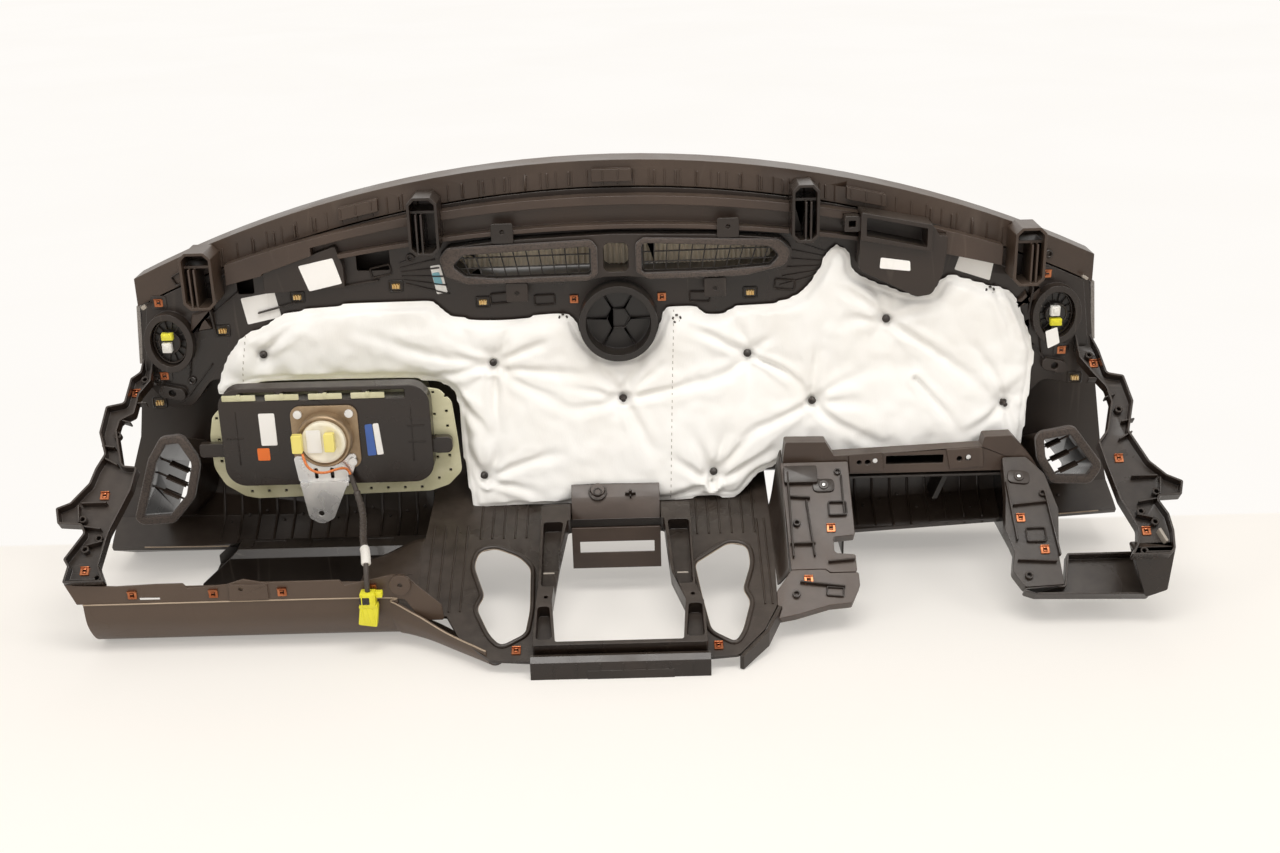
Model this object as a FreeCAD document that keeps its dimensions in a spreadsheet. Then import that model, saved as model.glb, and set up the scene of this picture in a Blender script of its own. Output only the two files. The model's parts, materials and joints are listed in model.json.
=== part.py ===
"""Car dashboard assembly, seen from its engine side, standing with the windscreen edge up.

Millimetres, X right, Y away from the viewer (the soft outer skin faces +Y), Z up. The floor is Z = 0.
"""
import FreeCAD, Part
import os
from math import cos, pi, radians, sin, sqrt, tan
from types import SimpleNamespace

Vector = FreeCAD.Vector
Rotation = FreeCAD.Rotation
Placement = FreeCAD.Placement

doc = FreeCAD.newDocument("car_dashboard")
sheet = doc.addObject("Spreadsheet::Sheet", "Sizes")

# Driving sizes in millimetres and degrees
SIZES = {
    "edge_height": 598, "edge_radius": 1560, "corner_half": 668,
    "side_half": 684, "side_height": 310, "vent_side_half": 702, "vent_side_height": 200,
    "foot_half_left": 748, "foot_half_right": 722, "foot_height": 70,
    "pad_inner": 172, "pad_outer": 186, "pad_bulge": 30, "brow_reach": 112, "brow_left": 46,
    "brow_right": 72, "skin_end": 7, "pad_top_drop": 7, "right_lift": 34,
    "carrier_front": 128, "wall": 3, "plate": 4, "band_height": 36, "rib_pitch": 29, "rib_width": 2,
    "rib_proud": 3, "locating_pad_length": 54, "locating_pad_height": 17, "locating_pad_proud": 8,
    "beam_top": 553, "beam_top_radius": 1760, "beam_bottom": 508, "beam_bottom_radius": 2200,
    "beam_half": 532, "beam_depth": 22, "gasket_thick": 8, "grille_bar": 1.6, "grille_depth": 3,
    "grille_set_back": 5, "ear_thick": 4, "ear_hole": 3,
    "holder_radius": 54, "holder_bore": 45, "holder_depth": 36, "holder_web": 3,
    "speaker_wide": 25, "speaker_tall": 33.5, "speaker_rim": 9, "speaker_depth": 18, "speaker_gap": 0.3,
    "magnet_radius": 14, "magnet_depth": 8, "locator_depth": 50, "locator_wall": 4,
    "mat_thick": 20, "mat_gap": 0.4, "mat_bend_height": 300, "mat_foot_height": 113, "mat_foot_reach": 60,
    "pin_radius": 2.5, "pin_head": 6, "pin_head_thick": 3, "pin_gap": 0.4,
    "frame_front": 66, "can_gap": 0.5, "can_back": 150, "housing_front": 40, "flange_thick": 3.5,
    "canister_radius": 38, "canister_depth": 20, "cap_radius": 30, "cap_thick": 1.5,
    "bracket_thick": 3, "bracket_step": 6, "bolt_radius": 6, "bolt_head": 4, "bolt_spread": 35,
    "lead_radius": 3.5, "squib_radius": 1.8, "tape_radius": 6.5,
    "vent_front": 60, "vent_gasket": 12, "vent_slope": 23, "vent_end": 208, "vane_thick": 2,
    "vane_chord": 15, "vane_pitch": 22, "vane_pin": 1.5, "vane_fit": 0.06, "vane_bore_end": 0.3,
    "vane_depth": 22, "vane_end_gap": 4, "stack_screw": 2.6, "stack_corner": 5,
    "bracket_slope": 39.7, "bracket_y": -140, "bracket_z": 111, "bracket_depth": 16,
    "leg_y": -120, "leg_z": 47, "leg_depth": 18, "rail_front": -128, "rail_bottom": 80,
    "rail_flange": 22, "roll_wall": 4,
    "face_slope": 19.25, "face_y": -203, "face_z": 20.5, "face_plate": 5, "stack_depth": 22,
    "hood_sheet": 3, "cluster_front": 48, "cluster_depth": 24, "hood_back": 165, "nut_size": 12,
    "nut_thick": 5, "clip_size": 10, "strip_thick": 6,
}
for row, (alias, value) in enumerate(SIZES.items(), 1):
    sheet.set(f"A{row}", alias.replace("_", " "))
    sheet.set(f"B{row}", str(value))
    sheet.setAlias(f"B{row}", alias)
doc.recompute()
s = SimpleNamespace(**{alias: float(sheet.get(alias)) for alias in SIZES})


def polygon(points, radius=0):
    """Straight runs round a closed loop with each corner rounded; a point may carry its own radius."""
    corners = [Vector(point[0], point[1], 0) for point in points]
    radii = [point[2] if len(point) > 2 else radius for point in points]
    ends = []
    for index, corner in enumerate(corners):
        before = corners[index - 1] - corner
        after = corners[(index + 1) % len(corners)] - corner
        half = before.getAngle(after) / 2
        limit = 0.48 * min(before.Length, after.Length)
        reach = min(radii[index] / tan(half), limit) if radii[index] and half < 0.49 * pi else 0
        before.normalize()
        after.normalize()
        middle = corner
        if reach:
            rounding = reach * tan(half)
            inward = (before + after).normalize()
            middle = corner + inward * (rounding / sin(half) - rounding)
        ends.append((corner + before * reach, middle, corner + after * reach))
    loop = []
    for index, (start, middle, end) in enumerate(ends):
        if (end - start).Length > 1e-6:
            loop.append(Part.Arc(start, middle, end))
        following = ends[(index + 1) % len(ends)][0]
        if (following - end).Length > 1e-6:
            loop.append(Part.LineSegment(end, following))
    return loop


def box(left, right, bottom, top, radius=0):
    return polygon([(left, bottom), (right, bottom), (right, top), (left, top)], radius)


def square(centre, side, radius=0):
    half = side / 2
    return box(centre[0] - half, centre[0] + half, centre[1] - half, centre[1] + half, radius)


def circle(centre, radius):
    return [Part.Circle(Vector(centre[0], centre[1], 0), Vector(0, 0, 1), radius)]


def tall_oval(centre, half_wide, half_tall):
    middle = Vector(centre[0], centre[1], 0)
    return [Part.Ellipse(middle + Vector(0, half_tall, 0), middle + Vector(half_wide, 0, 0), middle)]


def wire_of(loop):
    return Part.Wire(Part.__sortEdges__([curve.toShape() for curve in loop]))


def offset(loop, distance):
    """The loop moved outward by distance, or inward where it is negative."""
    wire = wire_of(loop)
    area = Part.Face(wire).Area
    moved = wire.makeOffset2D(distance, 2)
    if (Part.Face(moved).Area > area) != (distance > 0):
        moved = wire.makeOffset2D(-distance, 2)
    curves = []
    for edge in moved.Edges:
        first, last = edge.ParameterRange
        ends = edge.valueAt(first), edge.valueAt(last)
        if edge.Curve.TypeId == "Part::GeomLine":
            curves.append(Part.LineSegment(*ends))
        else:
            curves.append(Part.Arc(ends[0], edge.valueAt((first + last) / 2), ends[1]))
    return curves


def arc_drop(radius, x):
    """How far an arc of this radius, level at x = 0, has dropped at x."""
    return radius - sqrt(radius ** 2 - x ** 2)


def crescent(top, top_radius, bottom, bottom_radius, half):
    """The strip between two upward bulging arcs, with upright ends."""
    def arc(height, radius):
        low = height - arc_drop(radius, half)
        return Part.Arc(Vector(-half, low, 0), Vector(0, height, 0), Vector(half, low, 0))
    upper = arc(top, top_radius)
    lower = arc(bottom, bottom_radius)
    sides = [Part.LineSegment(lower.StartPoint, upper.StartPoint),
             Part.LineSegment(lower.EndPoint, upper.EndPoint)]
    return [upper, lower] + sides


def size(text):
    """An expression in which each sheet alias is read from the sheet."""
    words = text.replace("(", " ( ").replace(")", " ) ").split()
    return " ".join(f"Sizes.{word}" if word in SIZES else word for word in words)


class Piece:
    """A body whose loops lie in planes parallel to one of its origin planes."""

    def __init__(self, name, plane="XZ_Plane", y="0", z="0", tilt=None):
        self.body = doc.addObject("PartDesign::Body", name)
        self.body.Label = name
        self.body.AllowCompound = True
        if tilt:
            self.body.Placement = Placement(Vector(), Rotation(Vector(1, 0, 0), getattr(s, tilt)))
        self.body.setExpression(".Placement.Base.y", size(y))
        self.body.setExpression(".Placement.Base.z", size(z))
        self.plane = next(item for item in self.body.Origin.OriginFeatures if item.Role == plane)

    def feature(self, kind, loops, start, length):
        sketch = self.body.newObject("Sketcher::SketchObject", f"{self.body.Name}_outline")
        sketch.AttachmentSupport = (self.plane, [""])
        sketch.MapMode = "FlatFace"
        sketch.setExpression(".AttachmentOffset.Base.z", size(start))
        for loop in loops:
            sketch.addGeometry(loop, False)
        feature = self.body.newObject(f"PartDesign::{kind}", f"{self.body.Name}_{kind.lower()}")
        feature.Profile = sketch
        feature.Reversed = kind == "Pocket"
        feature.setExpression("Length", size(length))
        sketch.Visibility = False
        return self

    def pad(self, loops, start, length):
        return self.feature("Pad", loops, start, length)

    def pocket(self, loops, start, length):
        return self.feature("Pocket", loops, start, length)


pieces = {}


def keep(item):
    """Note a finished sub-part under its label."""
    assert item.Label not in pieces, f"two sub-parts called {item.Label}"
    pieces[item.Label] = item
    return item


def solid(name, shape):
    item = doc.addObject("Part::Feature", name)
    item.Label = name
    item.Shape = shape
    return item


def trimmed(name, base, *tools):
    """The base with each tool's room cut out of it, so that the two meet face to face."""
    base.Label = f"{name}_whole"
    for index, tool in enumerate(tools):
        cut = doc.addObject("Part::Cut", f"{name}_trim{index}")
        cut.Base = base
        cut.Tool = tool
        base = cut
    base.Label = name
    return base


def prism(loops, y_from, y_to, drop=0):
    """Loops drawn in X and Z, carried from one Y to another, sinking by drop on the way."""
    face = Part.makeFace([wire_of(loop) for loop in loops], "Part::FaceMakerBullseye")
    face.rotate(Vector(), Vector(1, 0, 0), 90)
    face.translate(Vector(0, y_from, 0))
    return face.extrude(Vector(0, y_to - y_from, -drop))


def across(points, x_from, x_to):
    """A profile drawn in Y and Z, carried along X."""
    wire = Part.makePolygon([Vector(x_from, *point) for point in points + points[:1]])
    return Part.Face(wire).extrude(Vector(x_to - x_from, 0, 0))


LOCATORS = {"locator_left_outer": (-585, -541, 416, 496, 1), "locator_left_inner": (-273, -232, 484, 564, 1),
            "locator_right_inner": (240, 277, 489, 568, -1), "locator_right_outer": (541, 584, 420, 501, -1)}
INNER_LOCATORS = ("locator_left_inner", "locator_right_inner")
DUCT_BOX = [(333, 527, 3), (430, 508, 3), (452, 474, 8), (447, 437, 8), (434, 409, 12), (413, 406, 12),
            (333, 446, 10)]
DUCT_EARS = [(322.5, 510), (441, 480)]
DUCT_EAR = 21.5
RECESS_COVER = [(-482, 457, 3), (-380, 492, 3), (-371, 464, 3), (-371, 434, 3), (-482, 428, 3)]


# Padded shell

def pad_section(x, brow, floor, lift=0):
    """The shell's section: a flat back, a bulge at the foot, and a lip that rolls in to the brow."""
    inner = s.pad_inner
    outer = s.pad_outer
    foot = outer + s.pad_bulge
    if lift:
        lip = [(outer + 9, lift + 8), (outer + 3, lift), (inner + 12, lift - 3), (inner + 6, lift),
               (inner, lift + 4), (inner, lift + 10), (inner, lift + 16), (inner, lift + 22)]
        back = [(outer, 600), (outer + 4, 260), (outer + 9, lift + 40), (outer + 11, lift + 22)]
    else:
        reach = s.brow_reach
        lip = [(foot - 2, floor + 8), (foot - 10, floor), (foot - 20, floor + 2),
               (reach + 4, brow - s.skin_end), (reach, brow), (reach + 10, brow + 8),
               (reach + 46, brow + 28), (inner, brow + 70)]
        back = [(outer, 600), (outer + 4, 260), (foot - 8, 90 + floor), (foot, 40 + floor)]
    points = back + lip + [(inner, 600)]
    return Part.makePolygon([Vector(x, *point) for point in points + points[:1]])


def shell_outline():
    """The shell seen from the front: an arched windscreen edge and sides that flare to the foot."""
    top = s.edge_height - s.pad_top_drop
    corner = s.edge_height - arc_drop(s.edge_radius, s.corner_half) - s.pad_top_drop
    arc = Part.Arc(Vector(-s.corner_half, corner, 0), Vector(0, top, 0), Vector(s.corner_half, corner, 0))
    side = [(s.corner_half, corner), (s.side_half, s.side_height), (s.vent_side_half, s.vent_side_height)]
    right = side + [(s.foot_half_right, s.foot_height), (s.foot_half_right, -1)]
    left = side + [(s.foot_half_left, s.foot_height), (s.foot_half_left, -1)]
    path = right + [(-x, z) for x, z in reversed(left)]
    lines = [Part.LineSegment(Vector(*a, 0), Vector(*b, 0)) for a, b in zip(path, path[1:])]
    return [arc] + lines


RAISED_LIP = 118
SHELL_STATIONS = [(-760, s.brow_left + 4, 0, 0), (-290, s.brow_left - 3, 0, 0), (-236, 0, 0, RAISED_LIP),
                  (232, 0, 0, RAISED_LIP), (292, s.brow_left - 1, 0, 0),
                  (560, s.brow_right - 12, s.right_lift / 2, 0), (760, s.brow_right, s.right_lift, 0)]
SPEAKER_LEFT = (-623, 360)
SPEAKER_RIGHT = (614, 368)
LEFT_WINDOW = [(-221, 462, 6), (-205, 478, 6), (-31, 486, 6), (-31, 445, 6), (-160, 443, 20), (-203, 447, 6)]
RIGHT_WINDOW = [(38, 489, 6), (214, 480, 14), (226, 466, 6), (214, 452, 6), (140, 447, 20), (38, 446, 6)]
CENTRE_WINDOW = [(-14, 448, 8), (-14, 488, 8), (20, 488, 8), (20, 448, 8)]
LEFT_GASKET = [(-686, 122, 14), (-655, 212, 20), (-634, 244, 14), (-603, 247, 14), (-582, 206, 30),
               (-598, 150, 30), (-630, 114, 14), (-676, 112, 14)]
RIGHT_GASKET = [(578, 216, 14), (632, 226, 14), (678, 165, 18), (662, 138, 14), (606, 140, 16),
                (584, 176, 30)]
FOAM_WIDTH = 12


def vent_core(points, gasket_inset):
    return offset(polygon(points), -gasket_inset)


def vent_drop():
    return (s.vent_end - s.vent_front) * tan(radians(s.vent_slope))


def dash_pad():
    stations = [pad_section(*station) for station in SHELL_STATIONS]
    shell = Part.makeLoft(stations, True, True)
    shape = shell.common(prism([shell_outline()], s.brow_reach - 1, s.pad_outer + s.pad_bulge + 1))
    slot = prism([box(-212, 220, 404, 482, 20)], s.pad_inner - 1, s.pad_outer + 9)
    shape = shape.cut(slot)
    for points in (LEFT_GASKET, RIGHT_GASKET):
        tube = prism([vent_core(points, FOAM_WIDTH / 2)], s.vent_front, s.vent_end + 10,
                     vent_drop() * (s.vent_end + 10 - s.vent_front) / (s.vent_end - s.vent_front))
        shape = shape.cut(tube)
    return keep(solid("dash_pad", shape))


def windscreen_band():
    lower = s.edge_height - s.band_height
    ring = crescent(s.edge_height, s.edge_radius, lower, s.edge_radius - s.band_height, s.corner_half - 4)
    band = Piece("windscreen_band", y="pad_inner").pad([ring], "0", "pad_inner - carrier_front")
    ribs = []
    count = int(2 * (s.corner_half - 70) / s.rib_pitch)
    centres = [0, -345, 345]
    taken = [(x - s.locating_pad_length * 0.6, x + s.locating_pad_length * 0.6) for x in centres]
    taken += [(left - 2, right + 2) for left, right, *others in LOCATORS.values()]
    taken += [(400, 410), (s.beam_half - 14, s.beam_half), (-s.beam_half, 14 - s.beam_half)]
    for index in range(count):
        x = (index - (count - 1) / 2) * s.rib_pitch
        if not any(left < x < right for left, right in taken):
            foot = lower - arc_drop(s.edge_radius - s.band_height, abs(x) + s.rib_width) + 4
            ribs.append(box(x - s.rib_width / 2, x + s.rib_width / 2, foot, foot + s.band_height * 0.5))
    band.pad(ribs, "pad_inner - carrier_front", "rib_proud")
    pads = []
    for x in centres:
        middle = s.edge_height - arc_drop(s.edge_radius, x) - s.band_height * 0.55
        half = s.locating_pad_length / 2
        slant = -x / s.edge_radius * half
        low = middle - s.locating_pad_height / 2
        high = middle + s.locating_pad_height / 2
        pads.append(polygon([(x - half, low - slant), (x + half, low + slant), (x + half, high + slant),
                             (x - half, high - slant)], 2))
    band.pad(pads, "pad_inner - carrier_front", "locating_pad_proud")
    return keep(band.body)


# Carrier and what is fixed on it

CARRIER_OUTLINE = [(-648, 442, 4), (-668, 300, 16), (-640, 258, 16), (-604, 262, 20), (-575, 300, 20),
                   (-240, 300, 10), (-226, 290, 10), (-226, 153, 6), (214, 153, 6), (222, 215, 10),
                   (570, 230, 20), (604, 270, 20), (640, 262, 16), (668, 300, 16), (648, 442, 4),
                   (560, 487, 60), (430, 531, 90), (290, 563, 90), (150, 580, 90), (0, 584, 90),
                   (-150, 580, 90), (-290, 563, 90), (-430, 531, 90), (-560, 487, 60)]
RECESS_HOLE = (-355, -309, 453, 489)
SIDE_SLOT = (-523, -500, 424, 452)
HOLDER_CENTRE = (4, 377)
DEFROSTER_OUTLINE = [(-239, 474, 8), (-226, 487, 10), (-157, 495, 60), (0, 501, 90), (140, 497, 60),
                     (228, 489, 14), (246, 472, 12), (236, 446, 12), (140, 434, 20), (50, 437, 10),
                     (20, 441, 10), (-14, 441, 10), (-40, 435, 10), (-190, 432, 20), (-226, 442, 10)]


def upper_carrier():
    """A tray, open to the shell, whose face carries the ducts, the speakers and the brackets."""
    arched = prism([crescent(s.edge_height - s.band_height - 2, s.edge_radius - s.band_height - 2,
                             100, 20000, s.corner_half + 10)], 0, s.pad_inner + 1)
    face = polygon(CARRIER_OUTLINE)
    tray = prism([face], s.carrier_front, s.pad_inner).common(arched)
    inner = prism([offset(face, -s.wall)], s.carrier_front + s.plate, s.pad_inner)
    crown = crescent(s.edge_height - s.band_height - 2 - s.wall, s.edge_radius - s.band_height - 2 - s.wall,
                     100, 20000, s.corner_half + 10)
    shape = tray.cut(inner.common(prism([crown], 0, s.pad_inner + 1)))
    for centre in (SPEAKER_LEFT, SPEAKER_RIGHT):
        ring = [tall_oval(centre, s.speaker_wide + s.speaker_rim, s.speaker_tall + s.speaker_rim),
                tall_oval(centre, s.speaker_wide, s.speaker_tall)]
        shape = shape.fuse(prism(ring, s.carrier_front - s.speaker_depth, s.carrier_front))
    holes = [polygon(DEFROSTER_OUTLINE), box(*RECESS_HOLE, 3), box(*SIDE_SLOT, 3),
             circle(HOLDER_CENTRE, s.holder_bore)]
    for hole in holes:
        shape = shape.cut(prism([hole], s.carrier_front - 1, s.carrier_front + s.plate + 1))
    for centre in ((-630, 284), (618, 291)):
        boss = [polygon([(centre[0] - 18, centre[1] - 5, 9), (centre[0] + 18, centre[1] - 13, 9),
                         (centre[0] + 18, centre[1] + 5, 9), (centre[0] - 18, centre[1] + 13, 9)]),
                circle(centre, 5)]
        shape = shape.fuse(prism(boss, s.carrier_front - 10, s.carrier_front))
    depth = s.pad_inner - s.carrier_front
    for side, (x, z) in ((1, (-562, 396)), (-1, (580, 398))):
        rib = across([(s.carrier_front, z + 20), (s.carrier_front, z - 34),
                      (s.carrier_front - depth * 0.35, z + 8)], x, x + side * s.wall)
        shape = shape.fuse(rib)
    return keep(solid("upper_carrier", shape.removeSplitter()))


def upper_beam():
    beam = crescent(s.beam_top, s.beam_top_radius, s.beam_bottom, s.beam_bottom_radius, s.beam_half)
    piece = Piece("upper_beam", y="carrier_front").pad([beam], "0", "beam_depth")
    hollow = crescent(s.beam_top - 12, s.beam_top_radius, s.beam_bottom + s.wall * 2,
                      s.beam_bottom_radius, s.beam_half - 120)
    piece.pocket([hollow], "wall", "beam_depth")
    for name in INNER_LOCATORS:
        piece.pocket([box(*LOCATORS[name][:4])], "wall", "beam_depth")
    piece.pocket([polygon(DUCT_BOX)], "wall", "beam_depth")
    for centre in DUCT_EARS:
        piece.pocket([square(centre, DUCT_EAR)], "wall", "beam_depth")
    piece.pocket([polygon(RECESS_COVER)], "0", "beam_depth")
    return keep(piece.body)


def defroster():
    """The duct end with its two foam seals, and a wire grille in each mouth."""
    outline = polygon(DEFROSTER_OUTLINE)
    mouths = [polygon(LEFT_WINDOW), polygon(RIGHT_WINDOW), polygon(CENTRE_WINDOW)]
    depth = "pad_inner - carrier_front + beam_depth"
    piece = Piece("defroster_housing", y="pad_inner").pad([outline] + mouths, "0", depth)
    walls = [offset(mouth, s.wall) for mouth in mouths]
    piece.pocket([offset(outline, -s.wall)] + walls, "0", depth + " - plate")
    ears = [(-150, 508, 492, 520), (156, 508, 492.5, 520), (-134, 422, 410, 436.5), (138, 422, 410, 437)]
    tabs = [box(x - 15, x + 15, low, high, 3) for x, z, low, high in ears]
    holes = [circle((x, z), s.ear_hole) for x, z, low, high in ears]
    piece.pad(tabs + holes, depth, "ear_thick")
    keep(piece.body)
    front = "carrier_front - beam_depth"
    seals = {"defroster_seal_left": (LEFT_WINDOW, [(-237, 474, 8), (-226, 488, 8), (-30, 495, 10),
                                                   (-22, 484, 10), (-22, 445, 10), (-36, 438, 10),
                                                   (-200, 437, 20), (-230, 449, 8)]),
             "defroster_seal_right": (RIGHT_WINDOW, [(30, 488, 10), (40, 496, 10), (226, 489, 16),
                                                     (242, 472, 12), (234, 453, 14), (180, 440, 20),
                                                     (48, 438, 10), (30, 448, 10)])}
    for name, (window, outer) in seals.items():
        keep(Piece(name, y=front).pad([polygon(outer), polygon(window)], "0", "gasket_thick").body)
    grille_y = s.carrier_front - s.beam_depth + s.grille_set_back
    for name, points, lean in (("defroster_grille_left", LEFT_WINDOW, 0.35),
                               ("defroster_grille_right", RIGHT_WINDOW, -0.35)):
        mouth = polygon(points)
        left = min(point[0] for point in points)
        right = max(point[0] for point in points)
        low = min(point[1] for point in points)
        high = max(point[1] for point in points)
        bars = []
        outer_end = left if lean > 0 else right
        for step in range(1, 11):
            x = left + (right - left) * step / 11
            tilt = lean * (high - low) * (1 - abs(x - outer_end) / (right - left))
            bars.append([(x - tilt / 2, high), (x + tilt / 2, low)])
        for part in (1, 2):
            z = low + (high - low) * part / 3
            bars.append([(left, z - 1), (right, z + 1)])
        shape = prism([mouth, offset(mouth, -s.grille_bar * 1.5)], grille_y, grille_y + s.grille_depth)
        for (x1, z1), (x2, z2) in bars:
            run = Vector(x2 - x1, z2 - z1, 0)
            aside = Vector(-run.y, run.x, 0).normalize() * s.grille_bar / 2
            quad = [Vector(x1, z1, 0) + aside, Vector(x1, z1, 0) - aside,
                    Vector(x2, z2, 0) - aside, Vector(x2, z2, 0) + aside]
            bar = prism([polygon([(v.x, v.y) for v in quad])], grille_y, grille_y + s.grille_depth)
            shape = shape.fuse(bar.common(prism([mouth], grille_y, grille_y + s.grille_depth)))
        keep(solid(name, shape.removeSplitter()))


def speaker_holder():
    """The centre speaker's cup, its floor stiffened by spokes and a hexagon."""
    piece = Piece("centre_speaker_holder", y="carrier_front")
    rim = [circle(HOLDER_CENTRE, s.holder_radius), circle(HOLDER_CENTRE, s.holder_bore)]
    piece.pad(rim, "0", "holder_depth")
    piece.pad([circle(HOLDER_CENTRE, s.holder_bore + 0.01)], "0", "holder_web")
    hexagon = [(HOLDER_CENTRE[0] + 17 * cos(radians(60 * k)), HOLDER_CENTRE[1] + 17 * sin(radians(60 * k)))
               for k in range(6)]
    piece.pad([polygon(hexagon), offset(polygon(hexagon), -2)], "holder_web", "holder_web + 2")
    spokes = []
    for k in range(6):
        direction = Vector(cos(radians(60 * k)), sin(radians(60 * k)), 0)
        aside = Vector(-direction.y, direction.x, 0)
        start = Vector(*HOLDER_CENTRE, 0) + direction * 16.5
        end = Vector(*HOLDER_CENTRE, 0) + direction * (s.holder_bore + 0.5)
        quad = [start + aside, start - aside, end - aside, end + aside]
        spokes.append(polygon([(v.x, v.y) for v in quad]))
    piece.pad(spokes, "holder_web", "holder_web + 2")
    return keep(piece.body)


def corner_speakers():
    plugs = Piece("speaker_plugs", y="carrier_front - magnet_depth - wall")
    for name, centre in (("speaker_left", SPEAKER_LEFT), ("speaker_right", SPEAKER_RIGHT)):
        piece = Piece(name, y="carrier_front")
        piece.pad([tall_oval(centre, s.speaker_wide - s.speaker_gap, s.speaker_tall - s.speaker_gap)],
                  "0", "wall")
        piece.pad([circle(centre, s.magnet_radius)], "wall", "magnet_depth")
        keep(piece.body)
        side = 1 if centre[0] < 0 else -1
        x, z = centre
        plugs.pad([box(x - 9, x + 7, z + side * 10 - 5, z + side * 10 + 5, 1)], "0", "magnet_depth")
        plugs.pad([box(x - 10, x + 4, z - side * 6 - 7, z - side * 6 + 7, 1)], "0", "magnet_depth")
    keep(plugs.body)


def locators():
    """Hooped guides that the cowl's pegs slide into, each with upright ribs down one side."""
    for name, (left, right, low, high, side) in LOCATORS.items():
        clip = 9
        hoop = polygon([(left + clip, high), (right - clip, high), (right, high - clip), (right, low + clip),
                        (right - clip, low), (left + clip, low), (left, low + clip), (left, high - clip)], 3)
        piece = Piece(name, y="carrier_front - wall" if name in INNER_LOCATORS else "carrier_front")
        piece.pad([hoop, offset(hoop, -s.locator_wall)], "0", "locator_depth")
        foot = low + s.locator_wall * 0.5
        ribs = []
        for step in (1, 2):
            x = (left if side > 0 else right) + side * (s.locator_wall + step * 7)
            ribs.append(box(x - 1.5, x + 1.5, foot, high - 24))
        piece.pad(ribs, "0", "locator_depth - 4")
        shelf = box(left + s.locator_wall / 2, right - s.locator_wall / 2, high - 24, high - 20)
        piece.pad([shelf], "0", "locator_depth - 12")
        keep(piece.body)


def duct_box():
    piece = Piece("right_duct_box", y="carrier_front - wall")
    piece.pad([polygon(DUCT_BOX)], "0", "beam_depth + 14")
    mouth = polygon([(341, 520, 2), (423, 503, 2), (423, 477, 2), (341, 495, 2)])
    lip = polygon([(333, 527, 3), (430, 508, 3), (430, 471, 3), (333, 489, 3)])
    piece.pad([lip, mouth], "beam_depth + 14", "gasket_thick")
    piece.pocket([mouth], "wall", "beam_depth + 14")
    for centre in DUCT_EARS:
        piece.pad([square(centre, DUCT_EAR, 3), square(centre, 9, 1)], "0", "beam_depth + 14")
    return keep(piece.body)


def recess_cover():
    cover = Piece("left_recess_cover", y="carrier_front").pad([polygon(RECESS_COVER)], "0", "beam_depth - 6")
    cover.pocket([offset(polygon(RECESS_COVER), -s.wall)], "0", "beam_depth - 6 - wall")
    return keep(cover.body)


# Insulation

MAT_OUTLINE = [(-571, 281, 14), (-549, 336, 60), (-522, 368, 16), (-494, 378, 20), (-460, 399, 20),
               (-378, 409, 60), (-251, 411, 14), (-232, 388, 20), (-165, 377, 80), (-87, 389, 20),
               (-60, 386, 8), (-42, 346, 20), (-16, 324, 30), (24, 324, 30), (50, 344, 20), (64, 380, 10),
               (69, 394, 6), (112, 395, 8), (124, 381, 14), (154, 381, 8), (162, 391, 6), (230, 396, 30),
               (258, 408, 20), (277, 432, 30), (292, 466, 20), (305, 477, 8), (320, 470, 10),
               (328, 456, 6), (328, 438, 10), (350, 425, 20), (414, 400, 20), (441, 402, 12),
               (450, 422, 20), (463, 430, 10), (522, 412, 20), (554, 404, 16), (579, 345, 60),
               (590, 313, 60), (586, 275, 60), (574, 190, 40), (566, 170, 14), (240, 169, 14),
               (222, 162, 14), (196, 152, 14), (184, 136, 20), (166, 118, 14), (122, 122, 20),
               (70, 116, 60), (-104, 113, 60), (-142, 114, 30), (-200, 109, 14), (-212, 113, 10),
               (-216, 140, 20), (-222, 178, 30), (-228, 264, 30), (-233, 279, 14), (-250, 290, 20),
               (-298, 296, 40), (-461, 298, 60), (-511, 295, 20), (-545, 282, 14)]
MAT_PINS = [(-496, 337), (-174, 317), (7, 263), (184, 321), (274, 252), (378, 366), (545, 243),
            (-193, 160), (133, 157)]


def mat_back(z):
    """The Y of the mat's back face: upright above the bend, leaning to the viewer below it."""
    upright = s.carrier_front - s.mat_gap
    lean = upright - s.mat_thick - s.mat_foot_reach
    below = max(0, s.mat_bend_height - z) / (s.mat_bend_height - s.mat_foot_height)
    return upright - lean * below


def insulation_mat():
    heights = [500, s.mat_bend_height, s.mat_foot_height - 10]
    back = [(mat_back(z), z) for z in heights]
    front = [(mat_back(z) - s.mat_thick, z) for z in reversed(heights)]
    shape = across(back + front, -600, 620)
    shape = shape.common(prism([polygon(MAT_OUTLINE)], 20, s.carrier_front + 1))
    room = Part.makeCylinder(s.holder_radius + 4 * s.mat_gap, 200,
                             Vector(HOLDER_CENTRE[0], 0, HOLDER_CENTRE[1]), Vector(0, 1, 0))
    slope = tan(radians(s.face_slope))
    below = [(0, s.face_z + (0 - s.face_y) * slope + s.mat_gap),
             (200, s.face_z + (200 - s.face_y) * slope + s.mat_gap), (200, 0), (0, 0)]
    return shape.cut(room).cut(across(below, -700, 700))


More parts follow.
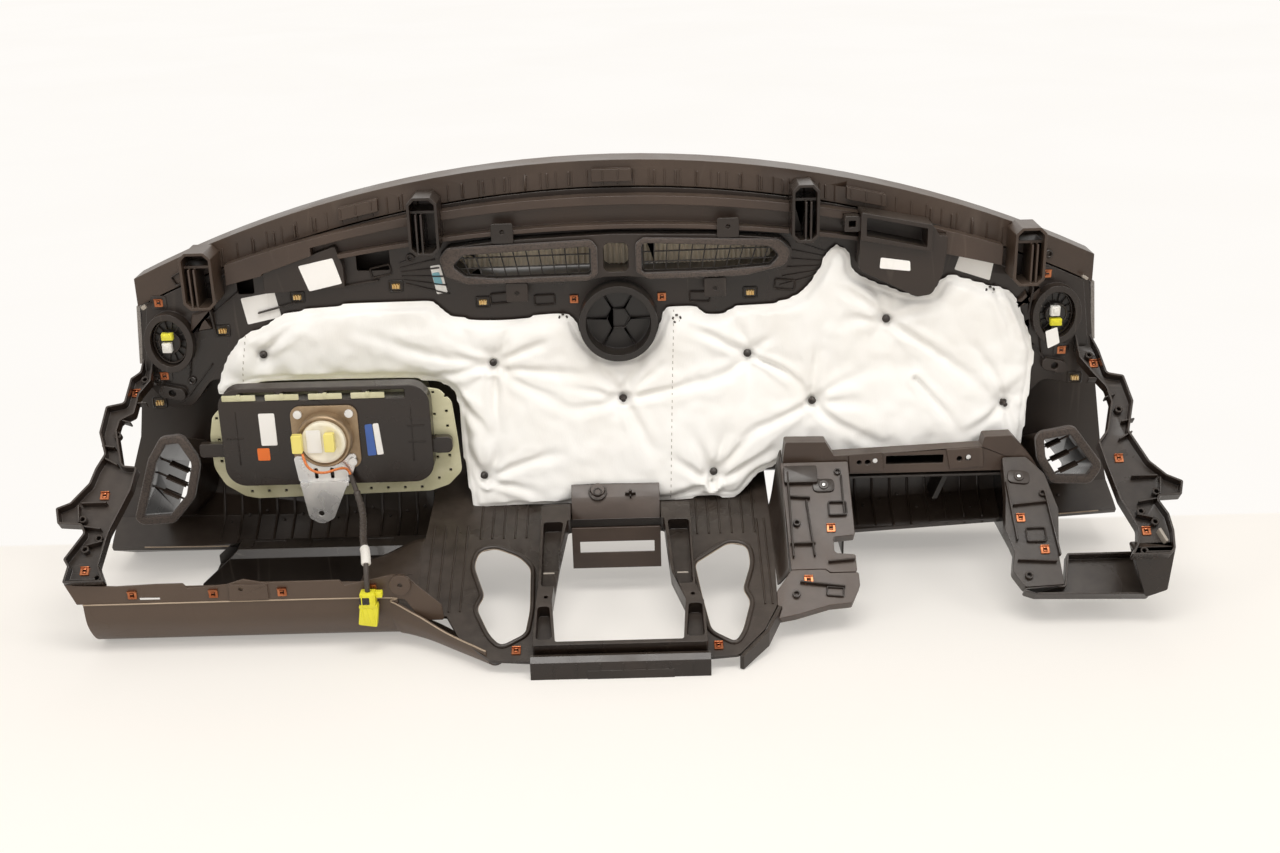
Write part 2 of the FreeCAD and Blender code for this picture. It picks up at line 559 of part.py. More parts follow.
def mat_and_pins():
    """The felt mat and the studs that pass through it into the carrier."""
    shape = insulation_mat()
    studs = []
    for x, z in MAT_PINS:
        face = mat_back(z) - s.mat_thick
        head_back = face - s.mat_gap
        seat = s.carrier_front
        stem = Part.makeCylinder(s.pin_radius, seat - head_back, Vector(x, head_back, z), Vector(0, 1, 0))
        head = Part.makeCylinder(s.pin_head, s.pin_head_thick, Vector(x, head_back, z), Vector(0, -1, 0))
        room = Part.makeCylinder(s.pin_radius + s.pin_gap, s.mat_thick * 5, Vector(x, face - 5, z),
                                 Vector(0, 1, 0))
        dimple = Part.makeCylinder(s.pin_head + 2, s.mat_thick * 0.12 + 20, Vector(x, face - 20, z),
                                   Vector(0, 1, 0))
        shape = shape.cut(room).cut(dimple)
        sink = Vector(0, s.mat_thick * 0.12, 0)
        head.translate(sink)
        stem = Part.makeCylinder(s.pin_radius, seat - head_back - sink.y, Vector(x, head_back + sink.y, z),
                                 Vector(0, 1, 0))
        studs.append(head.fuse(stem).removeSplitter())
    keep(solid("insulation_mat", shape))
    keep(solid("push_pins", Part.makeCompound(studs)))


# Passenger airbag

CAN = (-525, -277, 190, 286)
HOUSING = (-546, -257, 172, 315)
AIRBAG_FRAME = [(-563, 266, 14), (-569, 238, 30), (-569, 190, 30), (-556, 164, 20), (-530, 146, 14),
                (-512, 142, 30), (-267, 147, 30), (-241, 156, 14), (-222, 176, 14), (-225, 226, 30),
                (-230, 280, 14), (-246, 298, 14), (-281, 304, 20), (-530, 300, 20)]
FLANGE_CENTRE = (-402, 243)
FLANGE_HALF = 46
PLUG_SPOTS = [(-436, 245), (-392, 246)]


def airbag():
    chute = box(*CAN, 22)
    room = offset(chute, s.can_gap)
    outer = offset(chute, s.can_gap + s.wall)
    frame = Piece("airbag_frame", y="pad_inner")
    frame.pad([outer, room], "0", "pad_inner - frame_front - plate")
    frame.pad([polygon(AIRBAG_FRAME), room], "pad_inner - frame_front - plate", "plate")
    low, high = 153, 296
    holes = [square((x, low), 4) for x in range(-520, -260, 24)]
    holes += [square((-238, z), 4) for z in range(178, 290, 22)]
    holes += [square((-255, z), 4) for z in range(166, high, 32)]
    holes += [square((-557, z), 4) for z in (200, 232, 264)]
    frame.pocket(holes, "pad_inner - frame_front - plate", "plate")
    keep(frame.body)

    housing = Piece("airbag_housing", y="can_back")
    housing.pad([chute], "0", "can_back - frame_front")
    cover = box(*HOUSING, 28)
    housing.pad([cover], "can_back - frame_front", "frame_front - housing_front")
    windows = [box(left, left + 50, 297, 309, 2) for left in (-516, -457, -398, -340)]
    housing.pocket(windows, "can_back - frame_front", "frame_front - housing_front")
    arms = [box(-582, HOUSING[0] + 2, 212, 232, 5), box(HOUSING[1] - 2, -231, 210, 234, 8)]
    housing.pad(arms, "can_back - frame_front + plate", "wall * 4")
    keep(housing.body)

    flange_loop = square(FLANGE_CENTRE, 2 * FLANGE_HALF, 14)
    flange = Piece("inflator_flange", y="housing_front").pad([flange_loop], "0", "flange_thick")
    keep(flange.body)
    canister = Piece("inflator", y="housing_front - flange_thick")
    canister.pad([circle(FLANGE_CENTRE, s.canister_radius)], "0", "canister_depth")
    canister.pad([circle(FLANGE_CENTRE, s.cap_radius)], "canister_depth", "cap_thick")
    keep(canister.body)
    front = "housing_front - flange_thick - canister_depth - cap_thick"
    plugs = Piece("inflator_plugs", y=front)
    for x, z in PLUG_SPOTS:
        plugs.pad([box(x - 7, x + 7, z - 13, z + 13, 2)], "0", "nut_thick * 2")
    keep(plugs.body)

    x, z = FLANGE_CENTRE
    corners = [(x + i * s.bolt_spread, z + k * s.bolt_spread) for i in (-1, 1) for k in (-1, 1)]
    lower = [corner for corner in corners if corner[1] < z]
    upper = [corner for corner in corners if corner[1] > z]
    bolts = Piece("flange_bolts", y="housing_front - flange_thick")
    bolts.pad([circle(corner, s.bolt_radius) for corner in upper], "0", "bolt_head")
    bolts.pad([circle(corner, s.bolt_radius) for corner in lower], "bracket_thick", "bolt_head")
    keep(bolts.body)

    bracket = Piece("airbag_bracket", y="housing_front - flange_thick")
    plate = polygon([(x - 47, 217, 5), (x + 41, 219, 5), (x + 36, 198, 8), (x + 28, 176, 8),
                     (x - 42, 176, 8)])
    bracket.pad([plate], "0", "bracket_thick")
    bracket.pad([box(x - 40, x + 27, 174, 180)], "0", "bracket_step + bracket_thick")
    tongue = polygon([(x - 40, 180, 3), (x + 27, 180, 3), (x + 14, 152, 6), (x + 2, 125, 10),
                      (x - 15, 116, 14), (x - 32, 126, 10), (x - 36, 152, 6)])
    bracket.pad([tongue], "bracket_step", "bracket_thick")
    bracket.pocket([circle((x - 15, 133), 4)], "0", "bracket_step + bracket_thick + 1")
    bracket.pocket([circle(FLANGE_CENTRE, s.canister_radius + 1)], "0", "bracket_thick")
    slots = [box(x - 20, x - 15, 183, 199, 2), box(x + 2, x + 7, 183, 199, 2)]
    bracket.pocket(slots, "0", "bracket_step + bracket_thick")
    return keep(bracket.body)


# Route of the loom: from under the inflator, over the lower rail, to its plug
LEAD_ROUTE = [(-372, 29.7, 190), (-365, 27, 166), (-352, -8, 148), (-347, -42, 142), (-342, -78, 138),
              (-333, -112, 134), (-330, -140, 118), (-330, -140, 95)]
TAPE_FROM = 2
TAPE_TO = 6
SQUIB_ROUTE = [(-430, 8, 231), (-427, 3, 219), (-418, 1, 208), (-402, 6, 202), (-386, 18, 204),
               (-374.8, 30.8, 199.6), (-372, 29.7, 190)]


def soft_path(route):
    """Straight runs joined by tangent arcs, each arc as large as its two runs allow."""
    points = [Vector(*point) for point in route]
    edges = []
    radii = []
    start = points[0]
    for before, corner, after in zip(points, points[1:], points[2:]):
        back = before - corner
        ahead = after - corner
        half = back.getAngle(ahead) / 2
        reach = 0.45 * min(back.Length, ahead.Length)
        radius = reach * tan(half)
        radii.append(round(radius, 1))
        back.normalize()
        ahead.normalize()
        inward = (back + ahead).normalize()
        first = corner + back * reach
        last = corner + ahead * reach
        middle = corner + inward * (radius / sin(half) - radius)
        edges.append(Part.LineSegment(start, first).toShape())
        edges.append(Part.Arc(first, middle, last).toShape())
        start = last
    edges.append(Part.LineSegment(start, points[-1]).toShape())
    return edges, radii


def tube_along(edges, radius):
    path = Part.Wire(edges)
    first = edges[0]
    direction = first.tangentAt(first.FirstParameter)
    ring = Part.Wire(Part.makeCircle(radius, first.valueAt(first.FirstParameter), direction))
    return path.makePipeShell([ring], True, False)


def airbag_wiring():
    for name, route, radius in (("airbag_lead", LEAD_ROUTE, s.lead_radius),
                                ("squib_wire", SQUIB_ROUTE, s.squib_radius)):
        edges, radii = soft_path(route)
        tube = tube_along(edges, radius)
        length = sum(edge.Length for edge in edges)
        print(name, "arc radii", radii, "volume ratio", round(tube.Volume / (pi * radius ** 2 * length), 3))
        keep(solid(name, tube))
        if name == "airbag_lead":
            some = edges[2 * TAPE_FROM:2 * TAPE_TO - 1]
            sleeve = tube_along(some, s.tape_radius).cut(tube_along(some, s.lead_radius))
            keep(solid("lead_tape", sleeve))
    x, y, z = LEAD_ROUTE[-1]
    plug = Piece("lead_plug", y=f"{y + 7}")
    plug.pad([box(x - 10, x + 10, z - 20, z - 0.1, 2)], "0", "14")
    plug.pad([polygon([(x - 15, z - 46, 2), (x + 9, z - 50, 2), (x + 13, z - 20, 2), (x - 11, z - 18, 2)])],
             "2", "11")
    plug.pad([box(x + 10, x + 20, z - 8, z, 2)], "3", "8")
    return keep(plug.body)


# Side vents

def vent_frame(points):
    """The duct's outer and inner loops at its mouth, inside the foam seal."""
    outer = vent_core(points, FOAM_WIDTH / 2)
    return outer, offset(outer, -s.wall)


def side_vents():
    drop = vent_drop()
    for side, points, lean in (("left", LEFT_GASKET, -28), ("right", RIGHT_GASKET, 26)):
        seal = Piece(f"vent_seal_{side}", y="vent_front")
        seal.pad([polygon(points), offset(polygon(points), -FOAM_WIDTH)], "0", "vent_gasket")
        keep(seal.body)
        outer, inner = vent_frame(points)
        duct = prism([outer, inner], s.vent_front, s.vent_end, drop)
        bore = prism([inner], s.vent_front, s.vent_end, drop)
        y = s.vent_front + s.vane_depth
        shift = (y - s.vent_front) * tan(radians(s.vent_slope))
        middle = prism([inner], s.vent_front, s.vent_front + 1).CenterOfMass
        along = Vector(cos(radians(lean)), 0, sin(radians(lean)))
        step_way = Vector(-sin(radians(lean)), 0, cos(radians(lean)))
        for index in (-1, 0, 1):
            at = Vector(middle.x, y, middle.z - shift) + step_way * (index * s.vane_pitch)
            line = Part.makeLine(at - along * 150, at + along * 150)
            inside = line.common(bore)
            ends = sorted((vertex.Point for vertex in inside.Vertexes), key=lambda point: point.x)
            reach = s.wall * 0.6
            pin_start = ends[0] - along * reach
            pin_end = ends[-1] + along * reach
            pin = Part.makeCylinder(s.vane_pin, (pin_end - pin_start).Length, pin_start, along)
            bore_start = pin_start - along * s.vane_bore_end
            hole = Part.makeCylinder(s.vane_pin + s.vane_fit,
                                     (pin_end - pin_start).Length + 2 * s.vane_bore_end, bore_start, along)
            duct = duct.cut(hole)
            clear = s.vane_end_gap + s.vane_chord / 2 * tan(radians(s.vent_slope)) + 6
            blade_start = ends[0] + along * clear
            length = (ends[-1] - ends[0]).Length - 2 * clear
            blade = Part.makeBox(length, s.vane_chord, s.vane_thick)
            blade.translate(Vector(0, -s.vane_chord / 2, -s.vane_thick / 2))
            blade.Placement = Placement(blade_start, Rotation(Vector(0, 1, 0), -lean)).multiply(
                blade.Placement)
            vane = blade.fuse(pin).removeSplitter()
            name = f"vane_{side}_{index + 2}"
            keep(solid(name, vane))
            print(name, "axis", [round(v, 3) for v in along], "at", [round(v, 2) for v in at])
        keep(solid(f"vent_duct_{side}", duct))


# Lower structure

def up_slope(points, origin_y, slope):
    """Points given as X and Y on a sloping plane, turned into the plane's own X and run up the slope."""
    return [(point[0], (point[1] - origin_y) / cos(radians(slope))) + tuple(point[2:]) for point in points]


BRACKET_LEFT = [(-652, 146), (-667, 146), (-669, 112, 6), (-681, 104, 4), (-685, 74, 5), (-709, 70, 4),
                (-712, 38, 4), (-700, 12, 6), (-709, -5, 6), (-714, -22, 8), (-735, -44, 4),
                (-753, -50, 3), (-747, -68, 3), (-716, -70, 5), (-710, -79, 5), (-731, -108, 4),
                (-724, -116, 4), (-727, -134, 2), (-672, -134, 2), (-683, -116, 10), (-677, -80, 14),
                (-656, -30, 8), (-652, -4, 4), (-673, -2, 8), (-688, 40, 5), (-686, 52, 5), (-668, 60, 6),
                (-665, 84, 6), (-652, 101, 3)]
BRACKET_RIGHT = [(645, 146), (662, 146), (676, 108, 5), (681, 80, 5), (703, 76, 4), (709, 44, 5), (695, 8, 6),
                 (714, -28, 8), (733, -44, 4), (753, -52, 3), (747, -68, 3), (713, -69, 5), (725, -89, 8),
                 (727, -108, 8), (724, -128, 8), (716, -134, 2), (665, -134, 2), (676, -120, 10),
                 (680, -104, 14), (664, -71, 10), (655, -30, 8), (650, -4, 4), (665, 10, 8), (678, 44, 6),
                 (675, 62, 6), (662, 78, 6), (646, 100, 3)]


def end_bracket(name, points, *tools):
    loop = polygon(up_slope(points, s.bracket_y, s.bracket_slope))
    piece = Piece(name, plane="XY_Plane", y="bracket_y", z="bracket_z", tilt="bracket_slope")
    piece.pad([loop], "0 - bracket_depth", "bracket_depth")
    piece.pocket([offset(loop, -s.wall)], "wall - bracket_depth", "bracket_depth")
    front = s.carrier_front
    behind = across([(front, 200), (front, 400), (front + 40, 400), (front + 40, 200)], -700, 700)
    return keep(trimmed(name, piece.body, solid(f"{name}_room", behind), *tools))


RAIL_OUTLINE = [(-729, 114, 2), (-716, 108, 2), (-660, 105, 2), (-607, 107, 2), (-573, 107, 2),
                (-567, 100, 2), (-516, 104, 3), (-494, 111, 5), (-470, 106, 3), (-368, 106, 2),
                (-362, 98, 2), (-300, 112, 6), (-282, 112, 8), (-268, 96, 6), (-237, 66, 6), (-235, 44, 3),
                (-266, 44, 3), (-284, 76, 8), (-330, 80, 4), (-715, 80, 2)]


def lower_rail():
    piece = Piece("lower_rail", y="rail_front + wall")
    piece.pad([polygon(RAIL_OUTLINE)], "0", "wall")
    piece.pad([box(-513, -462, 82, 104, 2)], "wall", "wall")
    piece.pad([circle((-289, 98), 14)], "wall", "plate")
    piece.pocket([circle((-497, 98), 3), circle((-289, 98), 3)], "0", "wall * 4")
    piece.pocket([box(-632, -605, 84, 88)], "0", "wall")
    piece.pad([box(-716, -300, 89, 92)], "0 - rail_flange", "rail_flange")
    return keep(piece.body)


def roll_section(x, y, turn, scale):
    """The knee panel's rolled section, its foot at x and y, turned about the upright by turn degrees."""
    wall = s.roll_wall
    top = s.rail_bottom - 0.2
    curve = [(76, top), (72, 48), (52, 18), (26, 3), (0, 0), (-20, 2)]
    outer = [(a * scale, b * scale) for a, b in curve]
    aside = [(-wall, 0), (-wall, 1), (-wall * 0.7, wall * 0.8), (-1, wall), (0, wall), (0, wall)]
    inner = [(a + da, b + db) for (a, b), (da, db) in zip(outer, aside)][::-1]
    out = Vector(sin(radians(turn)), -cos(radians(turn)), 0)
    corners = [Vector(x, y, 0) + out * a + Vector(0, 0, b) for a, b in outer + inner]
    return Part.makePolygon(corners + corners[:1])


ROLL_STATIONS = [(-722, -52, 0, 1.0), (-330, -52, 0, 1.0), (-286, -60, -14, 0.92), (-244, -88, -30, 0.7),
                 (-206, -126, -36, 0.48), (-158, -168, -36, 0.4)]


def knee_roll(*tools):
    shape = Part.makeLoft([roll_section(*station) for station in ROLL_STATIONS], True, True)
    return keep(trimmed("knee_roll", solid("knee_roll_raw", shape), *tools))


def glovebox_duct():
    rear = s.brow_reach - 0.2
    outer = [(rear, 16), (rear, 50), (62, 80), (26, 82), (16, 72), (16, 20), (40, 12)]
    inner = [(rear - s.wall, 18 + s.wall), (rear - s.wall, 48), (60, 80 - s.wall),
             (28, 82 - s.wall), (16 + s.wall, 70), (16 + s.wall, 22), (42, 12 + s.wall)]
    shape = across(outer, -592, -278).cut(across(inner, -600, -278 - s.wall))
    slant = prism([polygon([(-600, 90), (-600, 10), (-592, 10), (-592, 34), (-530, 90)])], 0, 120)
    shape = shape.cut(slant)
    for x in (-500, -418, -346):
        dent = Part.makeBox(44, 26, 3, Vector(x - 22, 30, 79.4))
        shape = shape.cut(dent)
    return keep(solid("glovebox_duct", shape))


FACE_OUTLINE = [(-262, 171.9), (-272, 30, 30), (-277, -20, 60), (-274, -60, 20),
                (-274, -124.9, 2), (-232, -124.9, 2), (-212, -164, 20), (-170, -199, 10), (-121, -202.9),
                (112, -202.9), (150, -200, 10), (186, -160, 20), (206, -120, 30), (211, 0, 40), (208, 171.9)]
LEFT_MOUTH = [(-205, -38, 14), (-198, -10, 14), (-174, -4, 16), (-138, -22, 14), (-121, -44, 10),
              (-119, -118, 12), (-124, -160, 10), (-158, -181, 12), (-176, -160, 16), (-196, -114, 10),
              (-187, -92, 8)]
RIGHT_MOUTH = [(97, -43, 10), (148, -4, 20), (176, -12, 14), (179, -46, 14), (165, -92, 8), (174, -112, 10),
               (160, -163, 16), (147, -184, 12), (114, -162, 12), (104, -100, 12)]
STACK_OUTER = [(-111, 52, 6), (97, 52, 6), (98, -98, 3), (108, -128, 3), (110, -196, 3), (-115, -196, 3),
               (-113, -128, 3), (-111, -98, 3)]
STACK_INNER = [(-74, 22, 4), (-84, -45, 3), (-92, -120, 3), (-86, -190, 3), (79, -190, 3), (84, -125, 3),
               (67, -76, 3), (60, 22, 4)]


def stack_holes():
    """The two screw holes that pass through the stack's frame and the panel under it."""
    spots = up_slope([(-100, -116), (94, -116)], s.face_y, s.face_slope)
    return [circle(spot, s.stack_screw) for spot in spots]


def centre_face():
    def loop(points):
        return polygon(up_slope(points, s.face_y, s.face_slope))
    piece = Piece("centre_face_panel", plane="XY_Plane", y="face_y", z="face_z", tilt="face_slope")
    mouths = [loop(LEFT_MOUTH), loop(RIGHT_MOUTH), loop(STACK_INNER)] + stack_holes()
    piece.pad([loop(FACE_OUTLINE)] + mouths, "0 - face_plate", "face_plate")
    sheet_part = trimmed("centre_face_sheet", piece.body, pieces["dash_pad"])
    bar = across([(-203, 0.2), (-203, 30), (-208, 30), (-215, 24), (-215, 0.2)], -118, 113)
    bar = bar.cut(across([(-206, 3.2), (-206, 26), (-212, 21.5), (-212, 3.2)], -113, 108))
    ledge = across([(-206, 16.5), (-206, 19), (-200, 21), (-200, 18.5)], -118, 110)
    front = bar.fuse(ledge).fuse(Part.makeBox(111, 7, 12, Vector(-45, -216, 0)))
    for x in range(-90, 100, 30):
        front = front.fuse(Part.makeBox(2, 3, 18, Vector(x, -216, 4)))
    shared = doc.addObject("Part::Fuse", "centre_face_joined")
    shared.Base = sheet_part
    shared.Tool = solid("centre_face_front", front)
    shared.Label = "centre_face_panel"
    keep(shared)
    room = Piece("centre_face_room", plane="XY_Plane", y="face_y", z="face_z", tilt="face_slope")
    room.pad([loop(FACE_OUTLINE)], "0 - face_plate * 10", "face_plate * 20")
    return shared, room.body


def centre_stack():
    def loop(points):
        return polygon(up_slope(points, s.face_y, s.face_slope))
    piece = Piece("centre_stack_frame", plane="XY_Plane", y="face_y", z="face_z", tilt="face_slope")
    outer = loop(STACK_OUTER)
    inner = loop(STACK_INNER)
    piece.pad([outer, inner], "0", "stack_depth")
    wells = [[(-107, 18), (-80, 18), (-88, -98), (-107, -98)],
             [(65, 18), (94, 18), (95, -98), (75, -98), (71, -80)],
             [(-110, -132), (-95, -132), (-90, -186), (-111, -186)],
             [(88, -132), (105, -132), (106, -186), (83, -186)]]
    rounded = [[point + (s.stack_corner,) for point in points] for points in wells]
    piece.pocket([loop(points) for points in rounded], "wall", "stack_depth")
    piece.pocket(stack_holes(), "0", "stack_depth")
    piece.pocket([loop([(-70, 20), (56, 20), (56, 60), (-70, 60)])], "wall", "stack_depth")
    return keep(piece.body)


def bridge_hood():
    """A bent sheet over the head of the centre opening, with the slotted wall that hangs below it."""
    t = s.hood_sheet
    x_left, x_right = -69, 55
    skin = [(64, 151.5), (48, 138), (34, 108), (34 + t, 108), (48 + t, 135.5), (64, 148)]
    shape = across(skin, x_left, x_right)
    for x in (x_left, x_right - t):
        cheek = across([(64, 151), (48.5, 137), (34.5, 108), (36, 107.5), (58, 115.5)], x, x + t)
        shape = shape.fuse(cheek)
    floor = [(58, 115), (58, 118), (18, 104.1), (18, 101.1)]
    shape = shape.fuse(across(floor, x_left, x_right))
    wall = across([(18, 42), (18, 103), (20.8, 103), (20.8, 42)], x_left, x_right)
    slot = Part.makeBox(104, 10, 17, Vector(-58, 16, 66))
    shape = shape.fuse(wall.cut(slot))
    boss = Part.makeCylinder(10, 5, Vector(-32, 57.4, 143.5), Vector(0, -0.64, 0.768))
    return shape.fuse(boss).removeSplitter()


CLUSTER_OUTLINE = [(226, 163, 2), (231, 213, 3), (287, 212, 3), (299, 191, 2), (505, 199, 2), (508, 214, 3),
                   (546, 215, 3), (576, 180, 4), (586, 163, 2)]
CLUSTER_MOUTH = (316, 552)


def cluster_housing():
    outline = polygon(CLUSTER_OUTLINE)
    piece = Piece("cluster_housing", y="cluster_front + cluster_depth")
    piece.pad([outline], "0", "cluster_depth")
    piece.pocket([offset(outline, -s.wall)], "0", "cluster_depth - wall")
    piece.pad([polygon([(319, 193, 2), (366, 196, 2), (369, 168, 2), (321, 166, 2)]),
               polygon([(455, 197, 2), (505, 199, 2), (509, 171, 2), (461, 168, 2)])],
              "cluster_depth", "wall")
    piece.pocket([circle((334, 181), 3.5), circle((346, 181), 4), circle((474, 183), 4),
                  square((486, 184), 7)], "cluster_depth - wall", "wall * 3")
    piece.pocket([box(372, 452, 176, 189, 2)], "cluster_depth - wall", "wall")
    return keep(piece.body)


def cluster_hood(*tools):
    """Walls round the instrument opening, from the beam back to the shell."""
    left, right = CLUSTER_MOUTH
    top = 160
    points = [(left - s.wall, 40), (left, 40), (left, top - 4, 4), (right, top - 4, 4), (right, 40),
              (right + s.wall, 40), (right + s.wall, top - 1, 4), (left - s.wall, top - 1, 4)]
    shape = prism([polygon(points)], s.cluster_front, s.hood_back)
    strut = prism([polygon([(453, 90), (461, 90), (488, top - 3), (480, top - 3)])], 120, s.hood_back)
    return keep(trimmed("cluster_hood", solid("cluster_hood_raw", shape.fuse(strut)), *tools))


def instrument_room():
    """All that lies inside the outlines of the cluster's housing and hood."""
    left, right = CLUSTER_MOUTH
    mouth = prism([box(left - s.wall, right + s.wall, 40, 159)], s.cluster_front, s.hood_back)
    block = prism([polygon(CLUSTER_OUTLINE)], s.cluster_front, s.cluster_front + s.cluster_depth)
    return solid("instrument_room", block.fuse(mouth))


LEFT_LEG = [(224, 45, 3), (318, 45, 3), (318, -42, 3), (288, -44, 4), (288, -62, 6), (316, -64, 3),
            (316, -84, 4), (280, -84, 6), (274, -80, 2), (228, -80, 2)]
RIGHT_LEG = [(533, 45, 3), (566, 45, 3), (588, 24, 6), (599, -18, 14), (589, -70, 4), (590, -104, 3),
             (537, -106, 6), (524, -88, 10), (530, -66, 6), (522, -40, 14), (530, 0, 30)]
SHELF = [(228, -80.2, 3), (273.5, -80.2, 2), (279.8, -84.4, 2), (318, -84.4, 3), (318, -99, 3),
         (306, -118, 4), (276, -120, 2), (230, -130, 3), (200, -134, 4), (206, -104, 10)]
DRIVER_FRAME = [(526, -107, 4), (550, -114, 4), (700, -117, 6), (722, -100, 4), (700, -69, 3), (600, -69, 3),
                (590, -104.4, 2)]


def leg(name, points, *tools):
    """A tray, open to the floor, on the slope below the instruments."""
    loop = polygon(up_slope(points, s.leg_y, s.bracket_slope))
    piece = Piece(name, plane="XY_Plane", y="leg_y", z="leg_z", tilt="bracket_slope")
    piece.pad([loop], "0 - leg_depth", "leg_depth")
    piece.pocket([offset(loop, -s.wall)], "0 - leg_depth", "leg_depth - wall")
    return keep(trimmed(name, piece.body, *tools))


def driver_frame(*tools):
    """The sill under the driver's knees, with the cheek that rises to the end bracket."""
    loop = polygon(up_slope(DRIVER_FRAME, s.leg_y, s.bracket_slope))
    sill = Piece("driver_sill", plane="XY_Plane", y="leg_y", z="leg_z", tilt="bracket_slope")
    sill.pad([loop], "0 - leg_depth", "leg_depth")
    sill.pocket([offset(loop, -s.wall)], "wall - leg_depth", "leg_depth")
    cheek = solid("driver_cheek", prism([polygon([(694, 46, 3), (722, 56, 4), (727, 120, 4), (670, 120, 3),
                                                  (684, 74, 10)])], s.leg_y, s.leg_y + 6 * s.wall))
    joined = doc.addObject("Part::Fuse", "driver_joined")
    joined.Base = sill.body
    joined.Tool = cheek
    return keep(trimmed("driver_frame", joined, *tools))


def lower_brace(*tools):
    """The strip that runs from the shelf's corner to the foot of the centre stack."""
    path = [(207, -118.5), (186.6, -160.3), (150.4, -200.5)]
    heights = [(28, 48), (12, 34), (1, 20)]
    sections = []
    for (x, y), (low, high) in zip(path, heights):
        corners = [Vector(x, y, low), Vector(x + 5, y - 3, low), Vector(x + 5, y - 3, high),
                   Vector(x, y, high)]
        sections.append(Part.makePolygon(corners + corners[:1]))
    shape = Part.makeLoft(sections, True, True)
    return keep(trimmed("lower_brace", solid("lower_brace_raw", shape), *tools))


# Small fasteners

def spring_nuts(spots):
    """Copper spring nuts, each a small square on the face that it is pushed over."""
    nuts = []
    for (x, y, z), normal in spots:
        side = s.nut_size
        nut = Part.makeBox(side, side, s.nut_thick, Vector(-side / 2, -side / 2, 0))
        nut = nut.cut(Part.makeCylinder(side * 0.22, s.nut_thick + 2, Vector(0, 0, -1)))
        nut.Placement = Placement(Vector(x, y, z), Rotation(Vector(0, 0, 1), Vector(*normal)))
        nuts.append(nut)
    return keep(solid("spring_nuts", Part.makeCompound(nuts)))


def on_slope(x, y, origin_y, origin_z):
    return (x, y, origin_z + (y - origin_y) * tan(radians(s.bracket_slope)))


def clips(spots):
    """Brass edge clips, each a short folded strip."""
    items = []
    for x, z in spots:
        width = s.clip_size
        clip = Part.makeBox(width * 1.6, width * 0.6, width * 0.5,
                            Vector(x - width * 0.8, s.carrier_front - width * 0.6, z - width * 0.25))
        items.append(clip)
    return keep(solid("brass_clips", Part.makeCompound(items)))


def edge_strips():
    """Grey foam strips on the shell's two side edges."""
    strips = []
    for side in (-1, 1):
        low = Vector(side * 678, s.pad_inner, 312)
        high = Vector(side * 672, s.pad_inner, 398)
        out = Vector(side * s.strip_thick, 0, 0)
        lift = 8
        corners = [low + out * 0.7, low + out * 1.7, high + out * 1.5, high + out * 0.55]
        face = Part.Face(Part.makePolygon(corners + corners[:1]))
        strips.append(face.extrude(Vector(0, lift, 0)).cut(pieces["dash_pad"].Shape))
    return keep(solid("edge_strips", Part.makeCompound(strips)))


def build():
    pad = dash_pad()
    windscreen_band()
    upper_carrier()
    upper_beam()
    defroster()
    speaker_holder()
    corner_speakers()
    locators()
    duct_box()
    recess_cover()
    mat_and_pins()
    airbag()
    airbag_wiring()
    side_vents()
    rail = lower_rail()
    end_bracket("end_bracket_left", BRACKET_LEFT, rail)
    face, face_room = centre_face()
    knee_roll(face, rail)
    glovebox_duct()
    centre_stack()
    keep(solid("bridge_hood", bridge_hood()))
    cluster = cluster_housing()
    cluster_hood(cluster, pad)
    room = instrument_room()
    leg("left_leg", LEFT_LEG, room)
    right = leg("right_leg", RIGHT_LEG, room)
    brace = lower_brace(face_room)
    leg("column_shelf", SHELF, face_room, brace)
    frame = driver_frame(right)
    end_bracket("end_bracket_right", BRACKET_RIGHT, frame)
    slope_up = (0, -sin(radians(s.bracket_slope)), cos(radians(s.bracket_slope)))
    face_up = (0, -sin(radians(s.face_slope)), cos(radians(s.face_slope)))
    viewer = (0, -1, 0)
    rail_y = s.rail_front
    spots = [((x, rail_y, z), viewer) for x, z in ((-640, 93), (-534, 92), (-444, 92), (-326, 94))]
    sunk = s.wall - s.bracket_depth
    for x, y in ((-673.3, 90), (-694, -33), (-704, -118), (677, -20), (694, -104), (668, 96)):
        spot = Vector(*on_slope(x, y, s.bracket_y, s.bracket_z)) + Vector(*slope_up) * sunk
        spots.append((tuple(spot), slope_up))
    spots += [(on_slope(x, y, s.leg_y, s.leg_z), slope_up)
              for x, y in ((286, -34), (250, -92), (545, -28), (571, -65))]
    for x, y in ((-137, -186), (124, -186)):
        spots.append(((x, y, s.face_z + (y - s.face_y) * tan(radians(s.face_slope))), face_up))
    front = s.carrier_front
    spots += [((x, front, z), viewer) for x, z in ((-634, 415), (-640, 308), (600, 424), (628, 312))]
    holder = s.holder_radius + s.nut_size / 2 + 1
    spots += [((HOLDER_CENTRE[0] + side * holder, front, 405), viewer) for side in (-1, 1)]
    spring_nuts(spots)
    clips([(-550, 372), (-441, 418), (-303, 430), (-184, 404), (188, 408), (-652, 268), (650, 270)])
    edge_strips()


def check_and_write():
    doc.recompute()
    bad = [item.Name for item in doc.Objects if "Invalid" in item.State or "Error" in item.State]
    assert not bad, f"failed objects: {bad}"
    os.makedirs("parts", exist_ok=True)
    wrong = [name for name, item in pieces.items() if item.Shape.isNull() or not item.Shape.isValid()]
    assert not wrong, f"bad shapes: {wrong}"
    for name, item in pieces.items():
        assert item.Label == name, f"label of {name} is {item.Label}"
        item.Shape.exportStep(f"parts/{name}.step")
    print(len(pieces), "sub-parts written")


build()
check_and_write()
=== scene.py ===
# Car dashboard seen from its engine side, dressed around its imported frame
import json
from math import radians

import bmesh
import bpy
import numpy as np
from mathutils import Matrix, Vector
from mathutils.bvhtree import BVHTree

